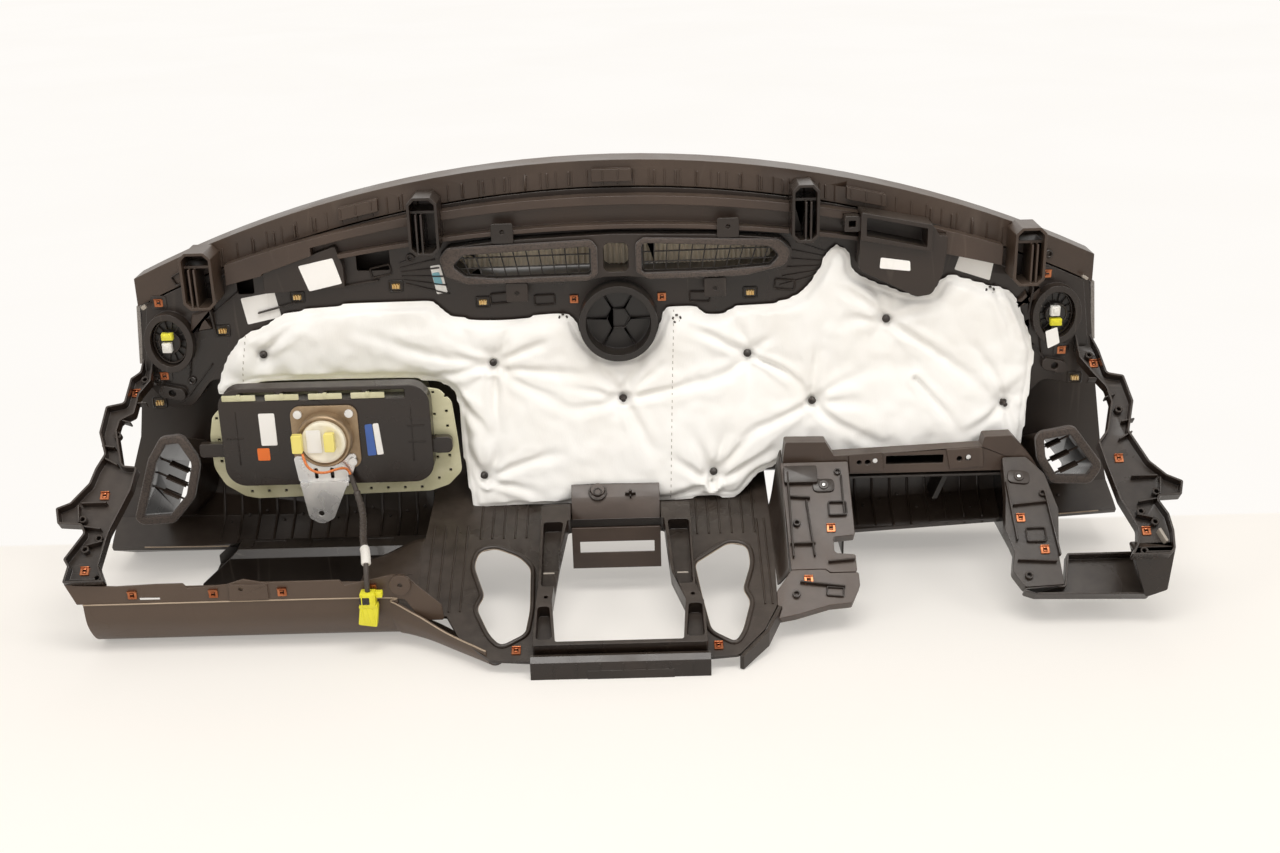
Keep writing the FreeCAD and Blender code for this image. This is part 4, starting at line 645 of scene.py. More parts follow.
# Sleeve: kinked convolutions, so its radius waves along the run
sleeveSetup = {"from": 0.1, "to": 0.68, "radius": 4.6, "wave": 0.45, "tapeFrom": 0.68, "tapeTo": 0.84,
               "tapeRadius": 6.3}
part = leadPart(sleeveSetup["from"], sleeveSetup["to"])
waves = (sleeveSetup["radius"] + sleeveSetup["wave"] * np.sin(np.arange(len(part)) * 1.3)) * mm
waves[[0, -1]] *= 0.75
shape, faces, uv = tubeAlong(part, waves, count=24)
sleeve = addPiece("leadSleeve", shape, faces, "sleeve", "dark_cable", uv=uv)
part = leadPart(sleeveSetup["tapeFrom"], sleeveSetup["tapeTo"])
wrap = np.full(len(part), sleeveSetup["tapeRadius"]) * mm
wrap[[0, -1]] *= 0.8
shape, faces, uv = tubeAlong(part, wrap, count=28)
tape = addPiece("leadTape", shape, faces, "tape", "white_tape", replaces=["lead_tape"], uv=uv)

# Plug: a housing with keyways, a trapezoid nose, a pulled-back lock and a ribbed grip, as pads measured from
# the plug's own place: X, Y, Z, size with corner radius, height, edge
plugSetup = {"place": (-330, -140, 95), "nose": [(-15, -36), (9, -40), (13, -10), (-11, -8)],
             "pads": [(0, 7, -10, (20, 19.6, 2), 14, 1.2), (0, 6, -20, (24, 4, 1), 13, 1),
                      (14.5, 4, -4, (9, 8, 1), 8, 1),
                      (-7.5, -7, -10, (1.4, 18, 0.6), 1, 0.4), (8, -7, -10, (1.4, 18, 0.6), 1, 0.4)],
             "keys": (-8, -1, 6),
             "latch": [(-4, -6.5, -11, (13, 10, 1.5), 1.3, 0.5), (-4, -6.6, -11, (3, 4, 0.8), 2.2, 0.6)]}


def plugPads(setup, rows):
    return [pad(size, (np.array(setup["place"]) + (x, y, z)) * mm, height, edge)
            for x, y, z, size, height, edge in rows]


def leadPlugShapes(setup):
    place = np.array(setup["place"])
    nose = slab(roundedOutline(np.array(setup["nose"]) * mm, 2 * mm), (place + (0, 5, -10)) * mm,
                raised(11 * mm, 1.4 * mm))
    keys = [pad((1.6, 20, 0.6), (place + (x, -6, -33)) * mm, 0.9, 0.4, along=(1, 0, 0.14)) for x in setup["keys"]]
    return plugPads(setup, setup["pads"]) + [nose] + keys


plug = addShapes("leadPlug", leadPlugShapes(plugSetup), "yellowPlastic", "yellow_plastic", replaces=["lead_plug"])
latch = addShapes("plugLock", plugPads(plugSetup, plugSetup["latch"]), "pinBlack", "pin_grey")

shape, faces, uv = tubeAlong(squibLine, cords["squib_wire"]["radius"] * mm, side=(0, 1, 0.3), count=12)
squib = addPiece("squibWire", shape, faces, "orangeWire", "orange_cable", replaces=["squib_wire"], uv=uv)
print("cords laid, lead", round(lengthOf(leadLine), 4), "m, igniter wire", round(lengthOf(squibLine), 4), "m")

# Smooth line: a Catmull-Rom curve through the points, with the ends carried on straight
def smoothLine(points, steps):
    points = np.asarray(points, float)
    ends = np.concatenate([points[:1] * 2 - points[1:2], points, points[-1:] * 2 - points[-2:-1]])
    t = np.linspace(0, 1, steps, endpoint=False)[None, :, None]
    a, b, c, d = ends[:-3, None], ends[1:-2, None], ends[2:-1, None], ends[3:, None]
    curve = 0.5 * (2 * b + (c - a) * t + (2 * a - 5 * b + 4 * c - d) * t ** 2 + (3 * b - a - 3 * c + d) * t ** 3)
    return np.concatenate([curve.reshape(-1, points.shape[1]), points[-1:]])


# Insulation mat, in millimetres: outline corners with radii, pins, folds as start, middle, end, depth and width,
# waves as turn, length and size, and what it stays behind as left, right, top and least Y
matSetup = {
    "outline": [(-571, 281, 14), (-549, 336, 60), (-522, 368, 16), (-494, 378, 20), (-460, 399, 20), (-378, 409, 60),
                (-251, 411, 14), (-232, 388, 20), (-165, 377, 80), (-87, 389, 20), (-60, 386, 8), (-42, 346, 20),
                (-16, 324, 30), (24, 324, 30), (50, 344, 20), (64, 380, 10), (69, 394, 6), (112, 395, 8),
                (124, 381, 14), (154, 381, 8), (162, 391, 6), (230, 396, 30), (258, 408, 20), (277, 432, 30),
                (292, 466, 20), (305, 477, 8), (320, 470, 10), (328, 456, 6), (328, 438, 10), (350, 425, 20),
                (414, 400, 20), (441, 402, 12), (450, 422, 20), (463, 430, 10), (522, 412, 20), (554, 404, 16),
                (579, 345, 60), (590, 313, 60), (586, 275, 60), (574, 190, 40), (566, 170, 14), (240, 169, 14),
                (222, 162, 14), (196, 152, 14), (184, 136, 20), (166, 118, 14), (122, 122, 20), (70, 116, 60),
                (-104, 113, 60), (-142, 114, 30), (-200, 109, 14), (-212, 113, 10), (-216, 140, 20), (-222, 178, 30),
                (-228, 264, 30), (-233, 279, 14), (-250, 290, 20), (-298, 296, 40), (-461, 298, 60), (-511, 295, 20),
                (-545, 282, 14)],
    "pins": [(-496, 337), (-174, 317), (7, 263), (184, 321), (274, 252), (378, 366), (545, 243), (-193, 160),
             (133, 157)],
    "folds": [
        ((-500, 337), (-468, 362), (-438, 391), 4, 9), ((-173, 313), (-268, 328), (-372, 379), 3, 12),
        ((-173, 313), (-233, 337), (-277, 354), 2, 9), ((-173, 313), (-228, 309), (-288, 293), 3, 10),
        ((-173, 313), (-131, 341), (-82, 351), 3, 9), ((-173, 313), (-156, 342), (-155, 369), 2, 12),
        ((-173, 313), (-88, 301), (4, 294), 2.5, 12), ((-173, 313), (-123, 280), (-40, 242), 2, 12),
        ((-173, 313), (-172, 261), (-172, 212), 3.5, 9), ((-250, 287), (-212, 258), (-175, 211), 4.5, 10),
        ((-190, 154), (-169, 185), (-172, 216), 4, 9), ((-190, 154), (-215, 186), (-220, 234), 3, 9),
        ((-190, 154), (-134, 187), (-66, 192), 3.5, 10), ((-190, 154), (-149, 149), (-100, 131), 2.5, 9),
        ((10, 263), (-14, 298), (-38, 317), 2.5, 11), ((10, 263), (18, 297), (40, 324), 2.5, 11),
        ((10, 263), (53, 302), (78, 321), 2, 9), ((10, 263), (88, 275), (169, 301), 3, 11),
        ((10, 263), (-33, 252), (-89, 252), 2, 11), ((10, 263), (30, 214), (60, 170), 2.5, 12),
        ((10, 263), (-46, 278), (-95, 289), 2, 10), ((187, 318), (145, 346), (88, 373), 3, 10),
        ((187, 318), (201, 340), (225, 353), 2, 9), ((187, 318), (243, 302), (273, 255), 4, 8),
        ((187, 318), (158, 293), (116, 277), 2, 11), ((187, 318), (190, 279), (179, 241), 1.5, 12),
        ((273, 251), (281, 319), (291, 384), 2.5, 11), ((273, 251), (313, 283), (359, 294), 2, 10),
        ((273, 251), (320, 255), (369, 243), 2, 12), ((273, 251), (214, 223), (150, 201), 3, 11),
        ((273, 251), (312, 214), (390, 186), 3, 11), ((381, 364), (349, 397), (300, 421), 3.5, 9),
        ((381, 364), (366, 397), (355, 420), 2.5, 9), ((381, 364), (416, 381), (450, 389), 2, 10),
        ((381, 364), (439, 326), (538, 246), 3.5, 11), ((381, 364), (332, 376), (291, 363), 1.5, 12),
        ((131, 142), (156, 187), (214, 229), 4, 10), ((131, 142), (121, 191), (90, 223), 3.5, 11),
        ((131, 142), (98, 133), (73, 121), 3, 8), ((131, 142), (184, 169), (238, 201), 3.5, 10),
        ((131, 142), (142, 191), (164, 242), 3, 10), ((131, 142), (99, 164), (68, 186), 3, 9),
        ((547, 242), (528, 305), (472, 354), 2.5, 11), ((547, 242), (553, 215), (558, 197), 3, 8),
        ((419, 281), (450, 245), (485, 204), 3.5, 9), ((525, 407), (556, 348), (567, 307), 2.5, 9),
        ((547, 242), (517, 215), (475, 199), 2.5, 9)],
    "bend": 300, "softness": 12, "fall": 47.6 / 187, "back": 127.6, "rear": 1.5, "front": 12, "voxel": 6,
    "most": 19.5,
    "waves": [(0.3, 71, 0.5), (1.2, 53, 0.45), (2.1, 37, 0.3), (2.8, 29, 0.25), (0.8, 23, 0.2)],
    "holder": (4, 377), "aside": 57.5, "behind": [(226, 586, 215, 73), (-75, 61, 155, 65)], "overFace": (-277, 211),
    "swell": 6, "pressure": 4.0, "frames": 20, "hem": 9, "hemThick": 5.5, "foldShare": 1.5}


# Back of the mat: upright above the bend, and below it forward by a fixed share of the drop, with a soft knee
def matBack(z):
    drop = matSetup["bend"] * mm - z
    return matSetup["back"] * mm - matSetup["fall"] * 0.5 * (drop + np.hypot(drop, matSetup["softness"] * mm))


# Distance from points to a line of close points, and how far along the line the nearest one lies
def nearLine(points, line):
    far = np.full(len(points), 1.0)
    share = np.zeros(len(points))
    reach = 0.05
    near = np.where(np.all((points > line.min(0) - reach) & (points < line.max(0) + reach), axis=1))[0]
    gaps = np.linalg.norm(points[near, None] - line[None], axis=2)
    far[near] = gaps.min(1)
    share[near] = gaps.argmin(1) / (len(line) - 1)
    return far, share


def coordinates(mesh):
    values = np.zeros(len(mesh.vertices) * 3)
    mesh.vertices.foreach_get("co", values)
    return values.reshape(-1, 3)


def bakedMesh(piece):
    return bpy.data.meshes.new_from_object(piece.evaluated_get(bpy.context.evaluated_depsgraph_get()))


# Swollen mesh: Cloth with pressure and no gravity, its back and pins held, its moves along Y kept and capped
def swollen(piece, held, setup):
    before = coordinates(piece.data)
    group = piece.vertex_groups.new(name="held")
    group.add(np.where(held)[0].tolist(), 1.0, "REPLACE")
    cloth = piece.modifiers.new("swelling", "CLOTH")
    cloth.settings.use_pressure = True
    cloth.settings.uniform_pressure_force = setup["pressure"]
    cloth.settings.shrink_min = -0.03
    cloth.settings.vertex_group_mass = "held"
    cloth.settings.effector_weights.gravity = 0
    cloth.collision_settings.use_collision = False
    for moment in range(1, setup["frames"] + 1):
        scene.frame_set(moment)
    after = coordinates(bakedMesh(piece))
    scene.frame_set(1)
    piece.modifiers.remove(cloth)
    move = (after - before) * np.array([0, 1, 0])
    return before + np.clip(move, -setup["swell"] * mm, setup["swell"] * mm)


# Mat: remeshed flat slab, swollen, subdivided, then pitted at its pins, folded, hemmed at its edge and bent
def matPiece(setup):
    corners = np.array(setup["outline"], float)
    outline = roundedOutline(corners[:, :2] * mm, corners[:, 2] * mm, 5)
    front, rear = setup["front"] * mm, setup["rear"] * mm
    levels = [(0, rear), (0, front - 3 * mm), (1 * mm, front - 1 * mm), (3 * mm, front)]
    points, faces = slab(outline, (0, 0, 0), levels)
    mesh = bpy.data.meshes.new("matFlat")
    mesh.from_pydata(points.tolist(), [], faces)
    work = bpy.data.objects.new("matFlat", mesh)
    scene.collection.objects.link(work)
    remesh = work.modifiers.new("evenMesh", "REMESH")
    remesh.mode = "VOXEL"
    remesh.voxel_size = setup["voxel"] * mm
    work.data = bakedMesh(work)
    work.modifiers.remove(remesh)
    pins = np.array(setup["pins"]) * mm
    flat = coordinates(work.data)
    pinned = np.linalg.norm(flat[:, None, [0, 2]] - pins[None], axis=2).min(1) < 8 * mm
    moved = swollen(work, (flat[:, 1] > -4 * mm) | pinned, setup)
    work.data.vertices.foreach_set("co", moved.ravel())
    work.modifiers.new("finer", "SUBSURF").levels = 1
    mesh = bakedMesh(work)
    bpy.data.objects.remove(work)
    points = coordinates(mesh)
    flat, height = points[:, [0, 2]], -points[:, 1]
    facingOut = np.clip((height - 4 * mm) / (4 * mm), 0, 1)
    waves = np.zeros(len(points))
    for angle, length, size in setup["waves"]:
        along = flat @ np.array([np.cos(angle), np.sin(angle)]) / (length * mm)
        aside = flat @ np.array([-np.sin(angle), np.cos(angle)]) / (length * mm)
        waves += size * mm * np.sin(6.28 * along + 2.0 * np.sin(2.1 * aside + length))
    change = waves
    for start, middle, end, depth, width in setup["folds"]:
        t = np.linspace(0, 1, 64)[:, None]
        line = ((1 - t) ** 2 * start + 2 * t * (1 - t) * np.array(middle) + t ** 2 * np.array(end)) * mm
        gap, share = nearLine(flat, line)
        wide = width * 0.62 * mm * (0.7 + 0.6 * share)
        fade = np.clip((1 - share) * 1.6, 0, 1) ** 0.8
        crease = -np.exp(-(gap / wide) ** 2) + 0.6 * np.exp(-((gap - 1.9 * wide) / (1.1 * wide)) ** 2)
        change = change + setup["foldShare"] * depth * mm * fade * crease
    height = height + facingOut * change
    for pin in pins:
        gap = np.linalg.norm(flat - pin, axis=1)
        pull = np.exp(-(gap / (13 * mm)) ** 2)
        height = np.where(height > 4 * mm, height * (1 - pull) + 5 * mm * pull, height)
        height -= facingOut * 3.5 * mm * np.exp(-(gap / (42 * mm)) ** 2)
    spread = np.linspace(0, 1, 900)
    ring = np.concatenate([outline, outline[:1]])
    run = np.concatenate([[0], np.cumsum(np.linalg.norm(np.diff(ring, axis=0), axis=1))])
    even = np.column_stack([np.interp(spread * run[-1], run, ring[:, axis]) for axis in (0, 1)])
    edge = np.concatenate([np.sqrt(((part[:, None] - even[None]) ** 2).sum(2)).min(1)
                           for part in np.array_split(flat, 24)])
    hem = np.clip(1.25 - edge / (setup["hem"] * mm), 0, 1) ** 0.6
    height = np.where(height > setup["hemThick"] * mm, height * (1 - hem) + setup["hemThick"] * mm * hem, height)
    height -= facingOut * 1.2 * mm * np.exp(-((edge - setup["hem"] * mm * 1.15) / (1.8 * mm)) ** 2)
    height += facingOut * 0.9 * mm * np.exp(-((edge - setup["hem"] * mm * 0.55) / (2.2 * mm)) ** 2)
    height = np.clip(height, rear, setup["most"] * mm)
    holder, aside = np.array(setup["holder"]) * mm, setup["aside"] * mm
    away = flat - holder
    far = np.linalg.norm(away, axis=1)[:, None]
    flat = np.where(far < aside, holder + away / np.maximum(far, 1e-6) * aside, flat)
    x, z = flat.T
    y = matBack(z) - height
    for left, right, top, least in setup["behind"]:
        inside = (x > left * mm) & (x < right * mm) & (z < top * mm)
        y = np.where(inside, np.maximum(y, least * mm), y)
    faceTop = (planeHeight("face", y / mm) + 1) * mm
    left, right = setup["overFace"]
    z = np.where((x > left * mm) & (x < right * mm), np.maximum(z, faceTop), z)
    mesh.vertices.foreach_set("co", np.column_stack([x, y, z]).ravel())
    mesh.materials.clear()
    mesh.materials.append(finishes["whiteFelt"])
    return finishPiece("insulationMat", mesh, "dashboard", 60, ["insulation_mat"])


mat = matPiece(matSetup)
matTree = BVHTree.FromPolygons([vertex.co for vertex in mat.data.vertices],
                               [tuple(face.vertices) for face in mat.data.polygons])
print("mat made:", len(mat.data.polygons), "faces")

# Knee roll: its section's outer curve and stations (x, y, turn, share of full size), in millimetres
rollSetup = {"curve": [(76, 79.8), (72, 48), (52, 18), (26, 3), (0, 0), (-20, 2)], "wall": 4,
             "edgeBy": (0, -0.4, -0.4), "edge": 1.0,
             "stations": [(-707, -52, 0, 1.0), (-330, -52, 0, 1.0), (-286, -60, -14, 0.92), (-244, -88, -30, 0.7),
                          (-206, -126, -36, 0.48), (-158, -168, -36, 0.4)]}


# Roll surface: the smooth section, turned and scaled along the smooth line of its stations, thickened inward
def rollPiece(setup):
    outer = smoothLine(setup["curve"], 6)
    way = np.gradient(outer, axis=0)
    way /= np.linalg.norm(way, axis=1)[:, None]
    inner = outer + np.column_stack([way[:, 1], -way[:, 0]]) * setup["wall"]
    ring = np.concatenate([outer, inner[::-1]])
    stations = smoothLine(setup["stations"], 10)
    x, y, turn, size = stations.T[:, :, None]
    reach, up = ring[None, :, 0] * size, ring[None, :, 1] * size
    points = np.stack([x + np.sin(np.radians(turn)) * reach, y - np.cos(np.radians(turn)) * reach,
                       np.maximum(up, 0)], -1).reshape(-1, 3) * mm
    count = len(ring)
    faces = gridFaces(len(stations), count, wrapColumns=True).tolist()
    faces += [list(range(count)), list(range(len(points) - count, len(points)))]
    addPiece("kneeRoll", points, faces, "kneeSkin", "shell_skin", smooth=50, replaces=["knee_roll"])
    line = points[::count] + np.array(setup["edgeBy"]) * mm
    points, faces, _ = tubeAlong(line, setup["edge"] * mm, side=(0, 0, 1), count=10)
    addPiece("rollEdge", points, faces, "edgePale", "pin_grey")


rollPiece(rollSetup)

# Spring nuts: plates with a square mouth and two tongues, on the rail and carrier and on the sloping planes
nutSetup = {"size": 12, "mouth": (5, 6.4), "height": 2.2, "upright": [(-640, -128, 93), (-534, -128, 92),
            (-444, -128, 92), (-326, -128, 94), (-634, 128, 415), (-640, 128, 308), (600, 128, 424), (628, 128, 312),
            (-57, 128, 405), (65, 128, 405)],
            "sloping": [("bracket", -673.3, 90), ("bracket", -694, -33), ("bracket", -704, -118),
                        ("bracket", 677, -20), ("bracket", 694, -104), ("bracket", 668, 96),
                        ("leg", 286, -34), ("leg", 250, -92),
                        ("leg", 545, -28), ("leg", 571, -65), ("face", -137, -186), ("face", 124, -186)]}


def nutShapes(seat, out, setup):
    basis = facing(out)
    size, (wide, tall) = setup["size"] * mm, setup["mouth"]
    plate = ringSlab(rectangle(size, size, 1.4 * mm), rectangle(wide * mm, tall * mm, 0.8 * mm), seat,
                     setup["height"] * mm, 0.4 * mm, out)
    tongues = [pad((4.2, 2.2, 0.5), seat + basis[1] * k * 2.3 * mm, 3.6, 0.5, out) for k in (-1, 1)]
    fold = slab(rectangle(size, 1.8 * mm, 0.6 * mm), seat + basis[1] * 5.2 * mm, raised(4.4 * mm, 0.7 * mm), out)
    return [plate, fold] + tongues


def nutsPiece(setup):
    seats = [(np.array(spot) * mm, (0, -1, 0)) for spot in setup["upright"]]
    seats += [planeSeat(*spot) for spot in setup["sloping"]]
    points, faces = joinShapes([shape for seat, out in seats for shape in nutShapes(seat, out, setup)])
    return addPiece("springNuts", points, faces, "copperSteel", "copper_steel", replaces=["spring_nuts"])


nutsPiece(nutSetup)

# Edge clips: three brass ridges in a rounded square pocket
clipSetup = {"spots": [(-550, 372), (-441, 418), (-303, 430), (-184, 404), (188, 408), (-652, 268), (650, 270)],
             "y": 128, "pocket": (21, 17), "mouth": (17, 13), "brass": (11, 7)}


def clipPieces(setup):
    seats = [np.array([x, setup["y"], z]) * mm for x, z in setup["spots"]]
    pocket, mouth, brass = (np.array(setup[key]) * mm for key in ("pocket", "mouth", "brass"))
    rims = [ringSlab(rectangle(*pocket, 3 * mm), rectangle(*mouth, 2.4 * mm), seat, 2.4 * mm, 0.7 * mm)
            for seat in seats]
    addShapes("clipPockets", rims, "deepPlastic", "dark_plastic")
    shapes = [slab(rectangle(*brass, 1 * mm), seat, raised(2.2 * mm, 0.4 * mm)) for seat in seats]
    shapes += [pad((2.6, 6.6, 0.8), seat + np.array([k * 3.7 * mm, 0, 0]), 5.4, 0.9)
               for seat in seats for k in (-1, 0, 1)]
    addShapes("brassClips", shapes, "brassStrip", "brass_strip", replaces=["brass_clips"])


clipPieces(clipSetup)


# Seat on the mat: where a ray along Y meets it
def seatOnMat(x, z):
    hit = matTree.ray_cast(Vector((x * mm, -0.4, z * mm)), Vector((0, 1, 0)))
    return np.array(hit[0]) if hit[0] else None


# Push pins: a washer pressed into the felt and a leaning stud, turned round its axis
pinSetup = {"profile": [(0.4, -8), (2.4, -7), (2.6, 0), (5.4, 0.2), (5.6, 1.0), (4.8, 1.7), (2.7, 2.2), (2.5, 6.5),
                        (3.2, 7.2), (3.3, 8.2), (2.4, 9.2), (0.4, 9.5)],
            "lean": [(0.3, 0.5), (-0.2, 0.35), (0.1, -0.2), (-0.15, 0.3), (0.35, 0.3), (-0.3, 0.25), (0.3, -0.3),
                     (-0.25, 0.2), (0.1, 0.3)]}


def pinsPiece(setup):
    shapes = []
    for (x, z), (aside, up) in zip(matSetup["pins"], setup["lean"]):
        seat = np.array([x * mm, matBack(z * mm) - 5 * mm, z * mm])
        shapes.append(lathe(np.array(setup["profile"]) * mm, seat, (aside, -1, up), 24))
    return addShapes("pushPins", shapes, "pinBlack", "pin_grey", replaces=["push_pins"])


pinsPiece(pinSetup)

# Star washers and dashed seams lying on the mat
markSetup = {"stars": [(-73, 380), (85, 376), (520, 404)], "turns": (20, 92, 164, 236, 308),
             "seams": [((81, 386), (71, 122)), ((-518, 364), (-528, 300))], "dash": 4.6, "pitch": 9}


def matMarks(setup):
    stars, dashes = [], []
    for x, z in setup["stars"]:
        seat = seatOnMat(x, z)
        if seat is not None:
            for turn in np.radians(setup["turns"]):
                way = np.array([np.cos(turn), 0, np.sin(turn)])
                stars.append(slab(rectangle(2.6 * mm, 3.8 * mm, 0.8 * mm), seat + way * 5.4 * mm,
                                  [(0, -1.5 * mm), (0, 0.7 * mm), (0.3 * mm, 1 * mm)], along=way))
    for start, end in setup["seams"]:
        start, end = np.array(start, float), np.array(end, float)
        way = end - start
        for share in np.arange(0, 1, setup["pitch"] / np.linalg.norm(way)):
            seat = seatOnMat(*(start + way * share))
            if seat is not None:
                dashes.append(pad((0.9, setup["dash"], 0.4), seat + np.array([0, 0.2 * mm, 0]), 0.7, 0.2))
    addShapes("starWashers", stars, "pinBlack", "pin_grey")
    addShapes("matStitches", dashes, "clipGrey", "pin_grey")


matMarks(markSetup)

# Connectors on the corner speakers: a yellow and a white one each, the yellow outward on the left
connectorSetup = {"centres": [(-623, 360, 1), (614, 368, -1)], "magnetY": 117}


def connectorShapes(x, z, wide, tall, height, y):
    body = pad((wide, tall, 1.4), np.array([x, y, z]) * mm, height, 1)
    latch = pad((wide * 0.45, tall * 0.5, 0.8), np.array([x, y - height + 0.4, z + 1]) * mm, 1.8, 0.5)
    ribs = [pad((1.2, tall - 1.6, 0.4), np.array([x + k * wide * 0.4, y, z]) * mm, height + 0.8, 0.4)
            for k in (-1, 1)]
    return [body, latch] + ribs


def speakerPieces(setup):
    yellow, white, ribs, rims = [], [], [], []
    for x, z, side in setup["centres"]:
        y = setup["magnetY"]
        yellow += connectorShapes(x - 1, z + side * 10, 16, 10, 8, y)
        white += connectorShapes(x - 3, z - side * 6, 13, 14, 8, y)
        for turn in np.arange(14) * 2 * np.pi / 14:
            way = np.array([np.cos(turn), 0, np.sin(turn)])
            place = np.array([x, 125, z]) + way * np.array([19, 0, 24])
            ribs.append(pad((12, 1.5, 0.5), place * mm, 4, 0.5, along=way))
        oval = disc(1, 48)
        rims.append(ringSlab(oval * np.array([24, 32.5]) * mm, oval * np.array([21.5, 30]) * mm,
                             np.array([x, 125, z]) * mm, 5 * mm, 0.8 * mm))
        rims.append(ringSlab(oval * 15.6 * mm, oval * 13.4 * mm, np.array([x, 117, z]) * mm, 2 * mm, 0.6 * mm))
    addShapes("speakerPlugsYellow", yellow, "yellowPlastic", "yellow_plastic", replaces=["speaker_plugs"])
    addShapes("speakerPlugsWhite", white, "whitePlastic", "white_tape")
    addShapes("speakerRibs", ribs + rims, "darkPlastic", "dark_plastic")


speakerPieces(connectorSetup)

# Bare labels: corners in X and Z, the node that carries each, and its finish
labelSetup = {
    "coverLabel": {"corners": [(-432, 466), (-384, 476), (-374, 440), (-420, 430)], "on": "left_recess_cover",
                   "finish": "labelWhite"},
    "carrierLabel": {"corners": [(-520, 418), (-472, 426), (-466, 390), (-514, 380)], "on": "upper_carrier",
                     "finish": "labelWhite"},
    "tallTag": {"corners": [(-254, 457), (-240, 459), (-232, 419), (-247, 417)], "on": "upper_carrier",
                "finish": "labelWhite"},
    "tagField": {"corners": [(-252, 447), (-242, 448.5), (-238, 431), (-248.5, 430)], "on": "upper_carrier",
                 "finish": "labelTeal", "lift": 0.9},
    "ductLabel": {"corners": [(362, 463), (402, 457), (403, 443), (361, 448)], "on": "right_duct_box",
                  "finish": "labelWhite"},
    "rightLabel": {"corners": [(480, 461), (526, 448), (521, 416), (471, 433)], "on": "upper_carrier",
                   "finish": "labelWhite"},
    "speakerTag": {"corners": [(598, 346), (614, 352), (619, 329), (603, 321)], "on": "upper_carrier",
                   "finish": "labelWhite", "lift": 3},
    "housingLabel": {"corners": [(-492, 279), (-470, 279), (-470, 232), (-492, 232)], "on": "airbag_housing",
                     "finish": "labelWhite"},
    "housingOrange": {"corners": [(-499, 228), (-482, 228), (-482, 210), (-499, 210)], "on": "airbag_housing",
                      "finish": "labelOrange"},
    "housingBlue": {"corners": [(-348, 259), (-338, 260), (-335, 214), (-347, 213)], "on": "airbag_housing",
                    "finish": "labelBlue"},
    "housingPale": {"corners": [(-337, 260), (-329, 261), (-325, 215), (-334, 214)], "on": "airbag_housing",
                    "finish": "labelWhite"},
    "canisterLabel": {"corners": [(-424, 262), (-404, 262), (-404, 229), (-424, 229)], "on": "inflator",
                      "finish": "labelWhite"}}


def labelPieces(setup):
    for name, label in setup.items():
        corners = np.array(label["corners"], float)
        probes = np.concatenate([corners, corners.mean(0, keepdims=True), (corners + np.roll(corners, 1, 0)) / 2])
        hits = [seatOn(label["on"], x * mm, z * mm)[0] for x, z in probes]
        heights = [hit[1] for hit in hits if hit is not None]
        y = min(heights) - 0.2 * mm - label.get("lift", 0) * mm if heights else 0.1
        outline = roundedOutline(corners * mm, 2 * mm, 4)
        points, faces = slab(outline, (0, y, 0), [(0, -0.4 * mm), (0, 0.4 * mm), (0.15 * mm, 0.55 * mm)])
        addPiece(name, points, faces, label["finish"], "white_tape")


labelPieces(labelSetup)


# Lower pad: upright ribs every 26 mm with a small stud between them
padSetup = {"from": -590, "to": 650, "pitch": 26, "low": 52, "high": 138, "rib": 2.1, "stud": 1.9}


def padDressing(setup):
    spread = np.arange(setup["from"], setup["to"], setup["pitch"])
    heights = np.linspace(setup["low"], setup["high"], 9)
    ridgesPiece("padRibs", "dash_pad", [[(x * mm, z * mm) for z in heights] for x in spread], setup["rib"] * mm,
                "shellSkin", "shell_skin")
    studs = []
    for number, x in enumerate(spread):
        for z in (128 + 5 * (number % 2), 70 + 6 * (number % 3)):
            seat, out = seatOn("dash_pad", (x + 11) * mm, z * mm)
            if seat is not None and out[1] < -0.3:
                studs.append(lathe(np.array([(setup["stud"], -0.5), (setup["stud"], 2.4), (1.0, 3.0)]) * mm, seat, out,
                                   10))
    addShapes("padStuds", studs, "darkPlastic", "dark_plastic")


padDressing(padSetup)

# Windscreen band: short upright ribs under its edge, following the arc of the edge
bandSetup = {"half": 600, "pitch": 21, "radius": 1560, "height": 598, "from": 13, "to": 40, "rib": 1.3}


def bandRibs(setup):
    spread = np.arange(-setup["half"], setup["half"] + 1, setup["pitch"])
    edge = setup["height"] - setup["radius"] + np.sqrt(setup["radius"] ** 2 - spread ** 2)
    lines = [[(x * mm, (top - down) * mm) for down in np.linspace(setup["from"], setup["to"], 6)]
             for x, top in zip(spread, edge)]
    ridgesPiece("bandRibs", "windscreen_band", lines, setup["rib"] * mm, "bandPlastic", "grey_plastic")


bandRibs(bandSetup)

# Airbag housing: pale metal behind its top windows, pressed ribs on its sides and bosses at its corners
housingSetup = {"windows": [-516, -457, -398, -340], "z": 303, "ribs": [-524, -284],
                "cross": [(-528, 243), (-278, 232), (-278, 256)]}


def housingDressing(setup):
    plates, ribs = [], []
    for x in setup["windows"]:
        seat, _ = seatOn("airbag_housing", x * mm, setup["z"] * mm)
        if seat is not None:
            plates += [pad((46, 8.5, 1.5), seat + np.array([0, 0.3 * mm, -0.001]), 1.6, 0.5),
                       pad((5, 7, 1), seat + np.array([0, 0.3 * mm, 0.001]), 3.0, 0.5)]
    for x in setup["ribs"]:
        ribs.append(pad((1.8, 78, 0.6), np.array([x, 40.3, 243]) * mm, 1.5, 0.6))
    for x, z in setup["cross"]:
        ribs.append(pad((24, 1.8, 0.6), np.array([x, 40.3, z]) * mm, 1.5, 0.6))
    addShapes("housingWindows", plates, "paleCoating", "pale_coating")
    addShapes("housingRibs", ribs, "darkPlastic", "dark_plastic")


housingDressing(housingSetup)
print("details added")

